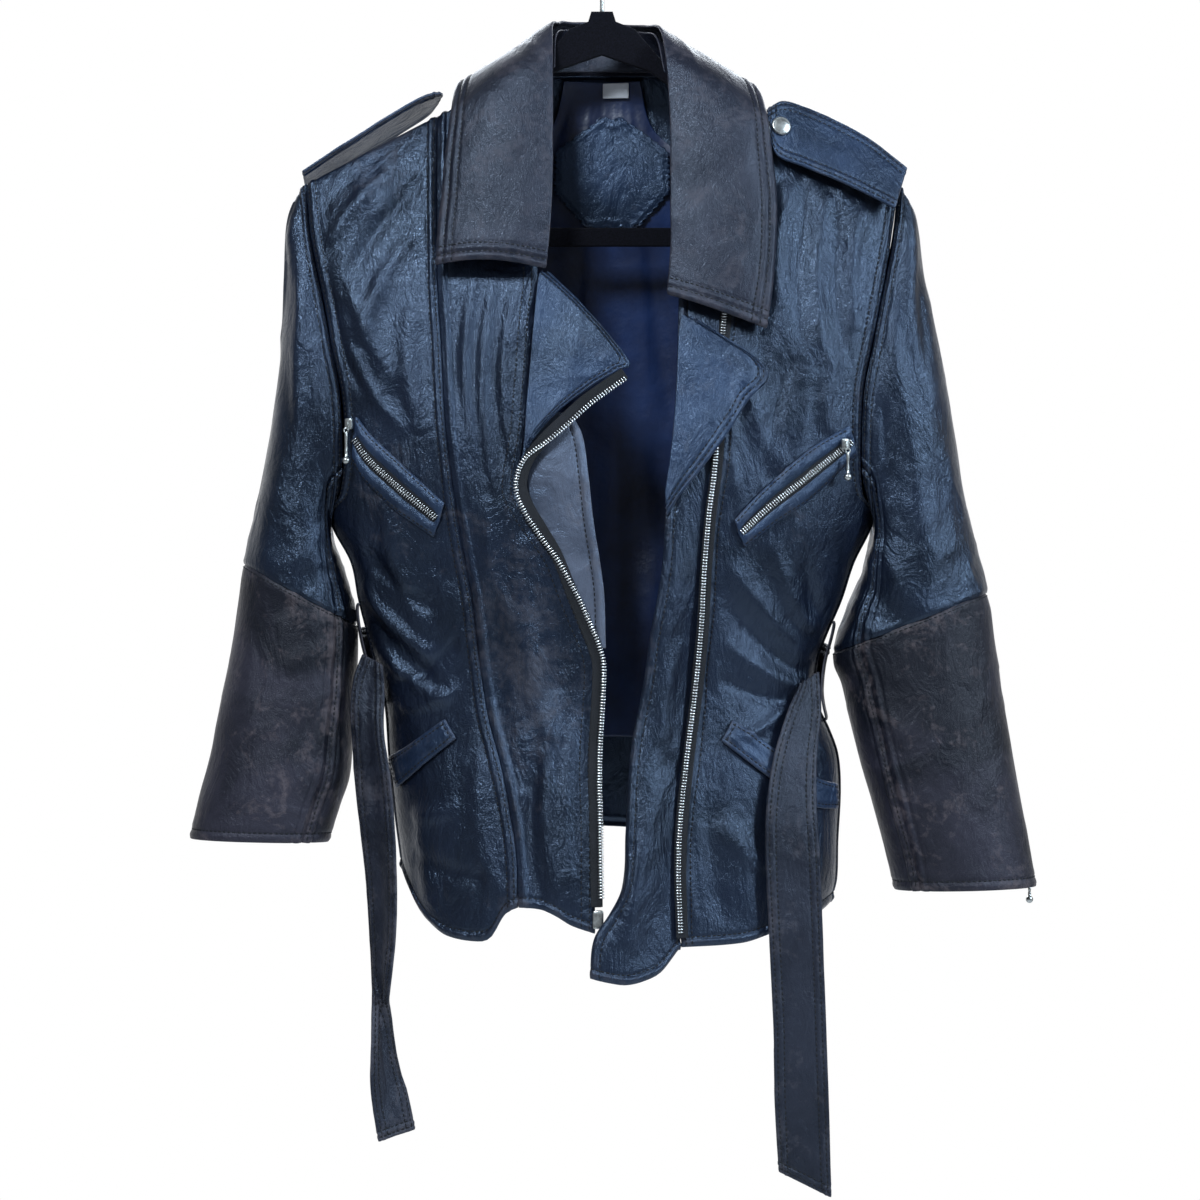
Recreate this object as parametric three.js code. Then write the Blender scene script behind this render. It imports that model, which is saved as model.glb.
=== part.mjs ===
// A worn leather biker jacket hanging open on a flocked hanger, unzipped, with its tie belt loose.
// Millimetres, +Z up. The origin is the inside top of the hanger's hook. -Y is the jacket's front,
// and -X is the wearer's right ("r" in the names), +X the wearer's left ("l").
import * as THREE from "three";

// ---- driving sizes ---------------------------------------------------------------------------
const LEATHER = 1.4; // wall of one leather panel
const DOUBLE = 2.4; // two leathers sewn together: collar, straps, belt, welts
const SATIN = 1.0; // lining
const TAPE = 1.2; // zip tape
const SEAM = 0.3; // gap between sewn pieces
const NECK_X = 70; // neck point of the shoulder line
const NECK_Z = -112;
const SHOULDER_SLOPE = 0.52;
const SHOULDER_ROUND = 60; // height over which front and back round into the shoulder line
const UNDERARM_Z = -470;
const BELT_WIDTH = 41;
const SNAP_RADIUS = 7.9;
const PULL_BALL = 3.0; // radius of the ball on a zip pull
const PULL_ROD = 1.4; // radius of its rod
const HOOK_WIRE = 1.75; // radius
const HOOK_LOOP = 20; // radius of the hook's centreline
const HANGER_THICK = 5;
const HANGER_NECK_Z = -62;

// ---- outlines: [height, value] rows from the top down -----------------------------------------
// Half-width of the body at the sides, wearer's right and left.
const WIDTH_R = [[-60, 250], [-330, 246], [-405, 232], [-470, 214.5], [-500, 199], [-530, 193],
  [-561, 185], [-608, 173], [-655, 169], [-702, 164], [-741, 159], [-800, 155]];
const WIDTH_L = [[-60, 250], [-330, 246], [-405, 232], [-470, 214.5], [-500, 200], [-530, 190],
  [-558, 178], [-578, 171], [-600, 169], [-615, 172], [-632, 180], [-652, 187], [-680, 189],
  [-720, 187], [-751, 186], [-769, 182], [-830, 178]];
// Depth of the front and of the back at their centre lines.
const DEPTH_FRONT = [[-60, 2], [-112, 8], [-160, 18], [-200, 28], [-260, 45], [-330, 66],
  [-450, 82], [-600, 75], [-700, 92], [-830, 110]];
const DEPTH_BACK = [[-60, 52], [-107, 52], [-150, 46], [-200, 44], [-260, 50], [-330, 55],
  [-450, 60], [-600, 54], [-700, 66], [-830, 78]];
// Distance of the armhole seam from the middle.
const ARMHOLE = [[-198, 236], [-240, 231], [-285, 222], [-330, 213], [-365, 206], [-405, 204],
  [-440, 206], [-470, 214.4]];
// Princess seam of the wearer's right front.
const PRINCESS = [[-140, -131], [-271, -129.5], [-330, -126], [-390, -122], [-450, -115],
  [-495, -108], [-530, -101], [-580, -95], [-620, -89], [-654, -80], [-686, -73], [-724, -67],
  [-770, -65]];
// Right front: neckline, lapel crease, then the zipped edge down to the hem.
const EDGE_R = [[-112, -70], [-180, -58], [-272, -51], [-307, -54], [-362, -58], [-400, -61],
  [-444, -67], [-466, -57], [-482, -46], [-500, -34], [-526, -24], [-551, -14], [-570, -6],
  [-585, -3], [-655, -7], [-700, -6], [-785, -6]];
// Left front: neckline, lapel roll line, then the free edge of the overlap.
const EDGE_L = [[-116, 71], [-200, 62], [-305, 60], [-380, 57], [-432, 52], [-470, 49],
  [-510, 46], [-560, 37], [-590, 33], [-649, 22], [-709, 18], [-750, 15], [-770, 6], [-790, -6],
  [-819, -9]];
// Left front: line of the zip between the overlap and the side front.
const ZIP_L = [[-126, 100], [-306, 97], [-326, 94], [-418, 90], [-446, 86], [-474, 82],
  [-506, 80], [-536, 78], [-585, 72.5], [-605, 72], [-655, 67], [-691, 62], [-727, 59],
  [-799, 61]];
// Hems as [x, height] rows.
const HEM_SIDE_R = [[-159, -742], [-154, -756], [-146, -772], [-134, -784], [-122, -791],
  [-100, -794], [-88, -791], [-76, -773], [-65.5, -767]];
const HEM_CENTRE_R = [[-65, -767], [-48, -768], [-36, -773], [-24, -780], [-6, -786]];
const HEM_OVERLAP = [[-9, -819], [4, -822], [19, -824], [34, -821], [46, -815], [59, -799]];
const HEM_SIDE_L = [[60, -797], [108, -795], [127, -790], [150, -781], [170, -775], [184, -768]];
const HEM_BACK = [[-159, -742], [-100, -722], [0, -713], [100, -728], [183, -768]];

const RAD = Math.PI / 180;
const FRONT = -1;
const BACK = 1;
const vec = (x, y, z) => new THREE.Vector3(x, y, z);
const mix = (a, b, f) => a + (b - a) * f;
const clamp = THREE.MathUtils.clamp;

// Smooth value at t from rows of [t, value], held at the ends.
function at(rows, t) {
  const last = rows.length - 1;
  const way = Math.sign(rows[last][0] - rows[0][0]);
  let i = 0;
  while (i < last - 1 && (t - rows[i + 1][0]) * way > 0) i += 1;
  const span = rows[i + 1][0] - rows[i][0];
  const f = clamp((t - rows[i][0]) / span, 0, 1);
  const slope = (k) => {
    const a = rows[Math.max(k - 1, 0)];
    const b = rows[Math.min(k + 1, last)];
    return ((b[1] - a[1]) / (b[0] - a[0])) * span;
  };
  const bend = f * f * (3 - 2 * f);
  return mix(rows[i][1], rows[i + 1][1], bend)
    + slope(i) * f * (1 - f) * (1 - f) - slope(i + 1) * f * f * (1 - f);
}

// ---- the body as a form: a flattened ring at each height --------------------------------------
const shoulderZ = (x) => NECK_Z - SHOULDER_SLOPE * (Math.abs(x) - NECK_X);
const widthAt = (x, z) => at(x < 0 ? WIDTH_R : WIDTH_L, z);
const angleAt = (x, z) => Math.asin(clamp(x / widthAt(x, z), -1, 1)) / RAD;

// The point of the front or back at an angle from the middle (90 is the side seam) and a height.
function ring(side, angle, z) {
  const x = widthAt(angle, z) * Math.sin(angle * RAD);
  const below = clamp((shoulderZ(x) - z) / SHOULDER_ROUND, 0, 1);
  const rounding = Math.sqrt(1 - (1 - below) * (1 - below));
  const depth = at(side === FRONT ? DEPTH_FRONT : DEPTH_BACK, z);
  return vec(x, side * depth * Math.cos(angle * RAD) * rounding, z);
}

// The point of the front or back at an angle and a height, moved out from the body by lift.
function offBody(side, angle, z, lift) {
  const point = ring(side, angle, z);
  const across = ring(side, angle + 1, z).sub(ring(side, angle - 1, z));
  const down = ring(side, angle, z - 1).sub(ring(side, angle, z + 1));
  const normal = across.cross(down).normalize();
  if (normal.y * side < 0) normal.negate();
  return point.addScaledVector(normal, lift);
}
const onFront = (x, z, lift = 0) => offBody(FRONT, angleAt(x, z), z, lift);

// ---- solids -----------------------------------------------------------------------------------
const finish = { roughness: 0.55, metalness: 0 };
const leather = () => new THREE.MeshStandardMaterial({ color: 0x232733, ...finish });
const wornLeather = () => new THREE.MeshStandardMaterial({ color: 0x45414a, roughness: 0.8 });
const satin = () => new THREE.MeshStandardMaterial({ color: 0x1c2a4b, roughness: 0.4 });
const tape = () => new THREE.MeshStandardMaterial({ color: 0x101218, roughness: 0.9 });
const metal = () => new THREE.MeshStandardMaterial({
  color: 0xaaafa5, roughness: 0.3, metalness: 1 });
const flock = () => new THREE.MeshStandardMaterial({ color: 0x0c0e16, roughness: 1 });
const paleCloth = () => new THREE.MeshStandardMaterial({ color: 0xd8dade, roughness: 0.8 });

const jacket = new THREE.Group();
function add(name, geometry, material) {
  const mesh = new THREE.Mesh(geometry, material);
  mesh.name = name;
  jacket.add(mesh);
  return mesh;
}

// Unit normal of the surface place(u, v).
function normalOf(place, u, v) {
  const step = 2e-3;
  const across = place(u + step, v).sub(place(u - step, v));
  const down = place(u, v + step).sub(place(u, v - step));
  return across.cross(down).normalize();
}

// A closed wall on the surface place(u, v), u and v from 0 to 1. Its outer face stands lift +
// thickness outside the surface and its inner face stands lift outside it, away from axis.
function wall(place, cols, rows, { thickness = LEATHER, lift = -thickness, axis, fix } = {}) {
  const middle = place(0.5, 0.5);
  const from = axis ?? vec(0, 0, middle.z);
  const way = normalOf(place, 0.5, 0.5).dot(middle.sub(from)) < 0 ? -1 : 1;
  const points = [];
  for (const rise of [lift + thickness, lift]) {
    for (let j = 0; j <= rows; j += 1) {
      for (let i = 0; i <= cols; i += 1) {
        const normal = normalOf(place, i / cols, j / rows).multiplyScalar(way);
        if (fix) fix(normal, i / cols, j / rows);
        points.push(place(i / cols, j / rows).addScaledVector(normal, rise));
      }
    }
  }
  const layer = (cols + 1) * (rows + 1);
  const spot = (i, j, inner) => j * (cols + 1) + i + (inner ? layer : 0);
  const faces = [];
  const quad = (a, b, c, d) => faces.push(a, b, c, a, c, d);
  for (let j = 0; j < rows; j += 1) {
    for (let i = 0; i < cols; i += 1) {
      quad(spot(i, j), spot(i + 1, j), spot(i + 1, j + 1), spot(i, j + 1));
      quad(spot(i, j, 1), spot(i, j + 1, 1), spot(i + 1, j + 1, 1), spot(i + 1, j, 1));
    }
  }
  for (let i = 0; i < cols; i += 1) {
    quad(spot(i, 0), spot(i, 0, 1), spot(i + 1, 0, 1), spot(i + 1, 0));
    quad(spot(i + 1, rows), spot(i + 1, rows, 1), spot(i, rows, 1), spot(i, rows));
  }
  for (let j = 0; j < rows; j += 1) {
    quad(spot(0, j + 1), spot(0, j + 1, 1), spot(0, j, 1), spot(0, j));
    quad(spot(cols, j), spot(cols, j, 1), spot(cols, j + 1, 1), spot(cols, j + 1));
  }
  if (way < 0) faces.reverse();
  const geometry = new THREE.BufferGeometry().setFromPoints(points);
  geometry.setIndex(faces);
  geometry.computeVertexNormals();
  return geometry;
}

// A panel of the body between two edges. Each edge gives the angle at a height, between its top
// and bottom heights; top(x) and bottom(x) give the heights of the ends.
function panel(side, left, right, top, bottom) {
  return (u, v) => {
    const angle = (w) => mix(
      left.angle(mix(left.top, left.bottom, w)), right.angle(mix(right.top, right.bottom, w)), u);
    const height = mix(
      mix(left.top, left.bottom, v), mix(right.top, right.bottom, v), u);
    const end = (outline, w) => {
      const chord = mix(mix(left.top, left.bottom, w), mix(right.top, right.bottom, w), u);
      const x = widthAt(angle(w), chord) * Math.sin(angle(w) * RAD);
      return outline(x) - chord;
    };
    const shift = (1 - v) * end(top, 0) + v * end(bottom, 1);
    return ring(side, angle(v), height + shift);
  };
}

// Edges for panel(): along a table of x, or along the armhole and then the side seam.
const seamEdge = (rows, top, bottom, shift = 0) => ({
  top, bottom, angle: (z) => angleAt(at(rows, z) + shift, z) });
const sideEdge = (sign, top, bottom) => ({
  top,
  bottom,
  angle: (z) => {
    const seam = 90 - (SEAM / 2) / (170 * RAD);
    if (z < UNDERARM_Z) return sign * seam;
    return clamp(angleAt(sign * (at(ARMHOLE, z) - 3 * SEAM), z), -seam, seam);
  } });

// The point of a curve at v, carried on straight past its ends.
function beyond(curve, v) {
  const inside = clamp(v, 0, 1);
  const slope = curve.getTangent(inside).multiplyScalar((v - inside) * curve.getLength());
  return curve.getPoint(inside).add(slope);
}

// A strip between two chains of points, one pair of ends to each row.
function strip(pairs) {
  const chain = (k) => new THREE.CatmullRomCurve3(
    pairs.map((pair) => pair[k]), false, "catmullrom", 0.5);
  const [a, b] = [chain(0), chain(1)];
  return (u, v) => beyond(a, v).lerp(beyond(b, v), u);
}

// A strip whose rows, given as [x, z, x, z], lie on the front at a distance from it.
function frontStrip(rows, liftA, liftB = liftA) {
  const flat = strip(rows.map(([xa, za, xb, zb]) => [
    vec(angleAt(xa, za), liftA, za), vec(angleAt(xb, zb), liftB, zb)]));
  return (u, v) => {
    const { x, y, z } = flat(u, v);
    return offBody(FRONT, x, z, y);
  };
}

// A band of a width along a line of points on the front, at a lift for each point.
function frontBand(line, width) {
  const flat = new THREE.CatmullRomCurve3(
    line.map(([x, z, lift]) => vec(x, lift, z)), false, "catmullrom", 0.5);
  return (u, v) => {
    const inside = clamp(v, 0, 1);
    const way = flat.getTangent(inside);
    const point = flat.getPoint(inside).addScaledVector(way, (v - inside) * flat.getLength());
    const across = vec(way.z, 0, -way.x).normalize().multiplyScalar((u - 0.5) * width);
    return onFront(point.x + across.x, point.z + across.z, point.y);
  };
}

// ---- body panels ------------------------------------------------------------------------------
// At the shoulder line and the armholes the cut edges of neighbours face each other squarely.
const squareTop = (normal, _, v) => {
  if (v < 0.001) normal.set(0, 0, 1);
};
const shoulder = (x) => shoulderZ(x) - SEAM;

add("side_front_r", wall(panel(FRONT,
  sideEdge(-1, -198.4, -742), seamEdge(PRINCESS, -144, -767, -3 * SEAM),
  shoulder, (x) => at(HEM_SIDE_R, x)), 7, 15, { fix: squareTop }), leather());
add("centre_front_r", wall(panel(FRONT,
  seamEdge(PRINCESS, -144, -767, SEAM), seamEdge(EDGE_R, -112.4, -786),
  shoulder, (x) => at(HEM_CENTRE_R, x)), 4, 22, { fix: squareTop }), leather());
add("side_front_l", wall(panel(FRONT,
  seamEdge(ZIP_L, -128.4, -797, 2 * SEAM), sideEdge(1, -198.4, -768),
  shoulder, (x) => at(HEM_SIDE_L, x)), 7, 15, { fix: squareTop }), leather());
add("back", wall(panel(BACK,
  sideEdge(-1, -198.4, -742), sideEdge(1, -198.4, -768),
  (x) => (Math.abs(x) > NECK_X ? shoulder(x) : -107 - 5.3 * (x / NECK_X) ** 2),
  (x) => at(HEM_BACK, x)), 16, 13, { fix: squareTop }), leather());

// The overlap stands forward of the body, swelling between its free edge and the zip.
const overlapPlace = panel(FRONT, seamEdge(EDGE_L, -116, -819),
  seamEdge(ZIP_L, -127.5, -799, -SEAM), (x) => mix(-114, -126, clamp((x - 71) / 29, 0, 1)),
  (x) => at(HEM_OVERLAP, x));
add("overlap_l", wall((u, v) => {
  const point = overlapPlace(u, v);
  const below = clamp((-430 - point.z) / 120, 0, 1);
  point.y -= below * 15 * Math.sin(0.62 * Math.PI * clamp(1 - u, 0, 1)) ** 1.6;
  return point;
}, 4, 24), leather());

// ---- lapels and the rolled-out facing ---------------------------------------------------------
// The wearer's right lapel stands unrolled: crease edge, then top edge, tip and lower edge.
const LAPEL_R_LIFT = 4.5;
add("lapel_r", wall(frontStrip([
  [-48, -277, -40, -277], [-50, -290, -16, -301], [-52, -312, 20, -344], [-54, -335, 13, -353],
  [-56, -360, -3, -362], [-58, -385, -24, -377], [-59, -405, -44, -395], [-61, -425, -58, -411],
], LAPEL_R_LIFT), 3, 10, { lift: 0 }), leather());
add("facing_r", wall(frontStrip([
  [-50, -384, -24, -386], [-55, -404, -15, -404], [-58, -430, -11, -432], [-54, -455, -8, -460],
  [-41, -482, -5, -482], [-30, -500, -2, -500], [-20, -522, 1, -524], [-10, -548, 2, -550],
  [-3, -566, 2.5, -567],
], 0), 2, 12, { lift: 0 }), leather());
add("lapel_l", wall(frontStrip([
  [62, -309, 74, -314], [60, -322, 127, -351], [59, -340, 112, -376], [58, -362, 94, -404],
  [56, -390, 75, -430], [53, -420, 59, -450], [49, -446, 50, -464],
], 3.4, 6), 4, 10, { lift: 0 }), leather());

// ---- front zips -------------------------------------------------------------------------------
const tapeBand = (line) => wall(frontBand(line, 10), 1, 2 * line.length, {
  thickness: TAPE, lift: 0 });
add("zip_tape_r", tapeBand([[17, -356, 7], [4, -365, 7], [-14, -378, 7], [-31, -394, 7],
  [-46, -409, 7], [-57, -423, 6], [-62, -441, 4.5], [-57, -457, 3], [-46, -476, 2.2],
  [-35, -495, 2.2], [-24, -522, 2.2], [-14, -547, 2.2], [-6, -568, 2.2], [-3, -588, 2.2],
  [-6, -655, 2.2], [-5, -707, 2.2], [-4, -766, 2.2]]), tape());
add("zip_tape_l", tapeBand([[97, -304, 1.2], [92, -360, 1.4], [88.5, -425, 2], [84, -460, 3],
  [80, -506, 3.4], [77, -550, 3.6], [72, -605, 3.6], [66, -655, 3.6], [61, -700, 3.6], [59.5, -740, 3.6],
  [61, -790, 3.6]]), tape());

// A rounded flat block lying on the front: size is [width, height, depth].
function plate(size, bevel = 0.5) {
  const [w, h, d] = size;
  const outline = new THREE.Shape();
  const r = Math.min(w, h) * 0.3;
  outline.moveTo(-w / 2 + r, -h / 2);
  outline.lineTo(w / 2 - r, -h / 2);
  outline.absarc(w / 2 - r, -h / 2 + r, r, -Math.PI / 2, 0);
  outline.absarc(w / 2 - r, h / 2 - r, r, 0, Math.PI / 2);
  outline.absarc(-w / 2 + r, h / 2 - r, r, Math.PI / 2, Math.PI);
  outline.absarc(-w / 2 + r, -h / 2 + r, r, Math.PI, Math.PI * 1.5);
  return new THREE.ExtrudeGeometry(outline, {
    depth: d - 2 * bevel, bevelSize: bevel, bevelThickness: bevel, bevelSegments: 1,
    curveSegments: 1 }).translate(0, 0, bevel - d / 2);
}

// Turns a mesh made facing +Z so that it faces out from the front at a point.
function face(mesh, x, z, lift, turn = 0) {
  const foot = onFront(x, z);
  const top = onFront(x, z, lift);
  mesh.position.copy(top);
  mesh.quaternion.setFromUnitVectors(vec(0, 0, 1), top.clone().sub(foot).normalize());
  mesh.rotateZ(turn);
  return mesh;
}
face(add("zip_box", plate([9, 15, 3.2]), metal()), -3, -776, 3.2, 0);

// ---- chest pockets, their zips, sliders and pulls -----------------------------------------------
const CHEST = {
  r: { frame: [[-192, -387, -195, -420], [-179, -403, -184, -437], [-156, -424, -160, -459],
    [-123, -455, -131, -480]],
  slider: [-195, -392],
  drop: 24 },
  l: { frame: [[103, -468, 111, -488], [126, -444, 134, -470], [160, -414, 165, -448],
    [192, -394, 198, -416]],
  slider: [187, -408],
  drop: 21 },
};

// A rod with a ball, hanging from its own origin, turned about Z.
function pull(name, drop, at3) {
  const profile = [[0, PULL_ROD]];
  for (let i = 1; i <= 3; i += 1) {
    const a = (90 - i * 30) * RAD;
    profile.push([PULL_ROD * Math.cos(a), PULL_ROD * Math.sin(a)]);
  }
  const neck = Math.asin(PULL_ROD / PULL_BALL);
  for (let i = 0; i <= 5; i += 1) {
    const a = Math.PI / 2 - neck - (i / 5) * (Math.PI - neck);
    profile.push([PULL_BALL * Math.cos(a), PULL_BALL * Math.sin(a) - drop]);
  }
  profile[profile.length - 1][0] = 0;
  const turned = new THREE.LatheGeometry(
    profile.reverse().map(([r, z]) => new THREE.Vector2(Math.max(r, 0), z)), 8);
  const mesh = add(name, turned.rotateX(Math.PI / 2), metal());
  mesh.position.copy(at3);
}

// How far the zip's line is moved in and down at each row of the frame.
const ZIP_END_INSET = [[3.6, 1.2], [0, 0], [0, 0], [3, 1]];
for (const [side, pocket] of Object.entries(CHEST)) {
  add(`chest_frame_${side}`, wall(frontStrip(pocket.frame, 1), 2, 10, {
    thickness: DOUBLE, lift: 0 }), leather());
  const middle = pocket.frame.map(([xa, za, xb, zb], row) => {
    const [inward, down] = ZIP_END_INSET[row];
    const way = side === "r" ? 1 : -1;
    return [(xa + xb) / 2 + inward * way, (za + zb) / 2 - down, DOUBLE + 1.4];
  });
  add(`chest_zip_${side}`, wall(frontBand(middle, 9), 1, 10, {
    thickness: TAPE, lift: 0 }), tape());
  const [x, z] = pocket.slider;
  face(add(`chest_slider_${side}`, plate([7, 9, 3]), metal()), x, z, 7.2);
  const hang = onFront(x, z - 4.6, 11.5);
  pull(`chest_pull_${side}`, pocket.drop, hang);
}

// ---- lower pocket welts -----------------------------------------------------------------------
add("welt_r", wall(frontStrip([[-167, -655, -161, -677], [-145, -640, -138, -657],
  [-122, -624, -114, -638]], 1), 2, 8, { thickness: DOUBLE, lift: 0 }), leather());
add("welt_l", wall(frontStrip([[101, -625, 93, -640], [134, -648, 128, -667],
  [165, -669, 163, -690], [184, -676, 184, -694]], 1.2), 2, 12, {
  thickness: DOUBLE, lift: 0 }), leather());

// ---- collar -----------------------------------------------------------------------------------
// Stations round the neck: the roll line, a bulge beside it, and the outer edge.
const COLLAR = [
  [[-45, -60, -271], [-72, -64, -266], [-129.5, -56, -268]],
  [[-42, -56, -240], [-70, -60, -238], [-128, -50, -243]],
  [[-40, -46, -200], [-68, -51, -199], [-125, -42, -208]],
  [[-40, -36, -156], [-66, -41, -158], [-122, -31, -174]],
  [[-40, -21, -104], [-64, -26, -114], [-118, -20, -145]],
  [[-39, 2, -76], [-60, 2, -88], [-112, 6, -121]],
  [[-33, 26, -69], [-50, 34, -80], [-96, 44, -126]],
  [[-20, 44, -67], [-30, 58, -78], [-60, 74, -146]],
  [[0, 52, -66], [0, 66, -79], [0, 82, -155]],
  [[22, 44, -68], [34, 58, -79], [66, 73, -147]],
  [[36, 26, -71], [56, 34, -82], [100, 44, -128]],
  [[46, 2, -78], [68, 2, -90], [120, 6, -123]],
  [[52, -21, -108], [78, -26, -118], [128, -20, -146]],
  [[55, -37, -160], [82, -42, -163], [133, -32, -178]],
  [[55, -46, -205], [82, -51, -207], [136, -42, -215]],
  [[55, -55, -245], [82, -60, -250], [134, -51, -268]],
  [[52, -62, -292], [78, -67, -300], [127, -59, -318]],
];
const chainOf = (points) => new THREE.CatmullRomCurve3(
  points.map(([x, y, z]) => vec(x, y, z)), false, "catmullrom", 0.5);
const collarRoll = chainOf(COLLAR.map((station) => station[0]));
const collarBulge = chainOf(COLLAR.map((station) => station[1]));
const collarEdge = chainOf(COLLAR.map((station) => station[2]));
// A parabola through the roll, the bulge at 0.3 of the way, and the edge.
const collarPlace = (u, v) => {
  const [a, b, c] = [collarRoll, collarBulge, collarEdge].map((curve) => beyond(curve, v));
  const f = 0.3;
  const wb = (u * (1 - u)) / (f * (1 - f));
  return a.multiplyScalar(1 - u - wb * (1 - f)).addScaledVector(b, wb)
    .addScaledVector(c, u - wb * f);
};
add("collar", wall(collarPlace, 4, 26, { thickness: DOUBLE, lift: 0 }), wornLeather());

// The stand rises from the neckline to just inside the roll, round the back of the neck.
const STAND = [
  [[-38, -19, -108], [-66, -8, -120]],
  [[-37, 1, -80], [-66, 3, -109]],
  [[-31, 24, -73], [-54, 24, -106]],
  [[-19, 40, -71.5], [-28, 38, -105]],
  [[0, 48, -70.5], [0, 42.5, -104.5]],
  [[21, 40, -72.5], [30, 38, -105]],
  [[34, 24, -75], [56, 24, -106]],
  [[44, 1, -82], [67, 3, -109]],
  [[50, -19, -112], [67, -8, -121]],
];
add("collar_stand", wall(strip(STAND.map((pair) => pair.map(([x, y, z]) => vec(x, y, z)))),
  2, 12, { thickness: LEATHER, lift: -LEATHER }), wornLeather());

// ---- epaulettes and their snaps -----------------------------------------------------------------
// Left: its face to the front. Right: lying over the shoulder, seen on edge, its tip lifted.
const EPAULETTE_L = [[[131, -14, -141], [129, -19, -158]], [[146, -5, -135], [138, -24, -179]],
  [[177, -3, -146], [160, -27, -189]], [[210, -2, -163], [196, -27, -204]],
  [[241, -2, -187], [230, -25, -221]]];
const EPAULETTE_R = [[[-128, -8, -129], [-127, 12, -128]], [[-140, -9, -132], [-138, 34, -140]],
  [[-165, -9, -145], [-164, 38, -156]], [[-200, -9, -167], [-199, 36, -178]],
  [[-236, -9, -191], [-236, 32, -203]]];
const strapOf = (rows) => strip(rows.map((pair) => pair.map(([x, y, z]) => vec(x, y, z))));
const straps = { l: strapOf(EPAULETTE_L), r: strapOf(EPAULETTE_R) };
for (const [side, place] of Object.entries(straps)) {
  const below = vec(side === "l" ? 180 : -180, 8, -230);
  add(`epaulette_${side}`, wall(place, 2, 8, {
    thickness: DOUBLE, lift: 0, axis: below }), leather());
  const cap = [[0, 0], [SNAP_RADIUS, 0], [SNAP_RADIUS, 0.8], [6.6, 1.8], [3, 2.3], [0, 2.4]];
  const snap = add(`snap_${side}`, new THREE.LatheGeometry(
    cap.map(([r, z]) => new THREE.Vector2(r, z)), 16).rotateX(Math.PI / 2), metal());
  const out = normalOf(place, 0.5, 0.22);
  if (out.dot(place(0.5, 0.22).sub(below)) < 0) out.negate();
  snap.position.copy(place(0.5, 0.22)).addScaledVector(out, DOUBLE + 1.3);
  snap.quaternion.setFromUnitVectors(vec(0, 0, 1), out);
}

// ---- sleeves ----------------------------------------------------------------------------------
// Rings down each sleeve: the outer point, the inner point, half-depth and the ring's middle y.
const SLEEVE = {
  r: { sign: -1, elbow: 5, rings: [[-237, -199, -214.6, -470, 30, 0],
    [-249, -228, -217, -476, 37, 2], [-252, -275, -216, -483, 41, 4],
    [-257, -346, -213, -492, 44, 5], [-270, -430, -206, -508, 46, 5],
    [-285, -501, -195, -549, 47, 4], [-293, -560, -195, -592, 46, 2],
    [-302, -606, -197, -632, 45, -2], [-311, -655, -200, -668, 44, -6],
    [-320, -688, -208, -692, 43, -8], [-327, -718, -217.5, -721, 42, -9]] },
  l: { sign: 1, elbow: 5, rings: [[237, -199, 214.6, -470, 30, 0],
    [250, -228, 217, -476, 37, 2], [257, -275, 215, -486, 41, 4],
    [271, -346, 211, -498, 44, 5], [288, -444, 201, -524, 46, 5],
    [306, -524, 184, -571, 47, 4], [314, -575, 191, -598, 46, 2],
    [322, -630, 200, -636, 45, -2], [330, -680, 213, -684, 44, -6],
    [337, -716, 223, -722, 43, -8], [344, -756, 231.5, -759, 42, -9]] },
};
const DEVIATION = [1, 0.6, 0.3, 0.1];

// The point of a sleeve ring at an angle: 0 outer, 90 front, 180 inner, 270 back.
function cuffRing([ox, oz, ix, iz, half, y], angle) {
  const c = Math.cos(angle * RAD);
  const s = Math.sin(angle * RAD);
  return vec((ox + ix) / 2 + ((ox - ix) / 2) * c, y - half * s, (oz + iz) / 2 + ((oz - iz) / 2) * c);
}
// The armhole loop at an angle, from the body's own form.
function armholePoint(sign, angle) {
  const c = Math.cos(angle * RAD);
  const z = mix(-198.6, UNDERARM_Z + 0.3, (1 - c) / 2);
  const point = ring(Math.sin(angle * RAD) >= 0 ? FRONT : BACK, angleAt(sign * at(ARMHOLE, z), z), z);
  point.x = sign * (at(ARMHOLE, z) + 2 * SEAM);
  return point;
}
// A stretch of sleeve between two rings, and between two angles.
function sleevePlace(sleeve, from, to, a0, a1) {
  return (u, v) => {
    const along = mix(from, to, v);
    const angle = mix(a0, a1, u);
    const points = sleeve.rings.map((row, k) => {
      const point = cuffRing(row, angle);
      const share = DEVIATION[k] ?? 0;
      if (share) {
        const gap = armholePoint(sleeve.sign, angle).sub(cuffRing(sleeve.rings[0], angle));
        point.addScaledVector(gap, share);
      }
      return point;
    });
    const last = points.length - 1;
    const curve = new THREE.CatmullRomCurve3(points, false, "catmullrom", 0.5);
    return beyond(curve, along / last);
  };
}
const squareArmhole = (normal, _, v) => {
  if (v > 0.001) return;
  normal.x = 0;
  normal.normalize();
};
for (const [side, sleeve] of Object.entries(SLEEVE)) {
  const last = sleeve.rings.length - 1;
  const [ox, oz, ix, iz] = sleeve.rings[3];
  const upper = vec((ox + ix) / 2, 0, (oz + iz) / 2);
  const [px, pz, qx, qz] = sleeve.rings[8];
  const lower = vec((px + qx) / 2, 0, (pz + qz) / 2);
  for (const [name, a0, a1, cols] of [["top", -112, 132, 9], ["under", 134, 246, 5]]) {
    add(`sleeve_${name}_${side}`, wall(sleevePlace(sleeve, 0, sleeve.elbow - 0.01, a0, a1),
      cols, 6, { axis: upper, fix: squareArmhole }), leather());
    add(`forearm_${name}_${side}`, wall(sleevePlace(sleeve, sleeve.elbow + 0.01, last, a0, a1),
      cols, 6, { axis: lower }), wornLeather());
  }
}

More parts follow.
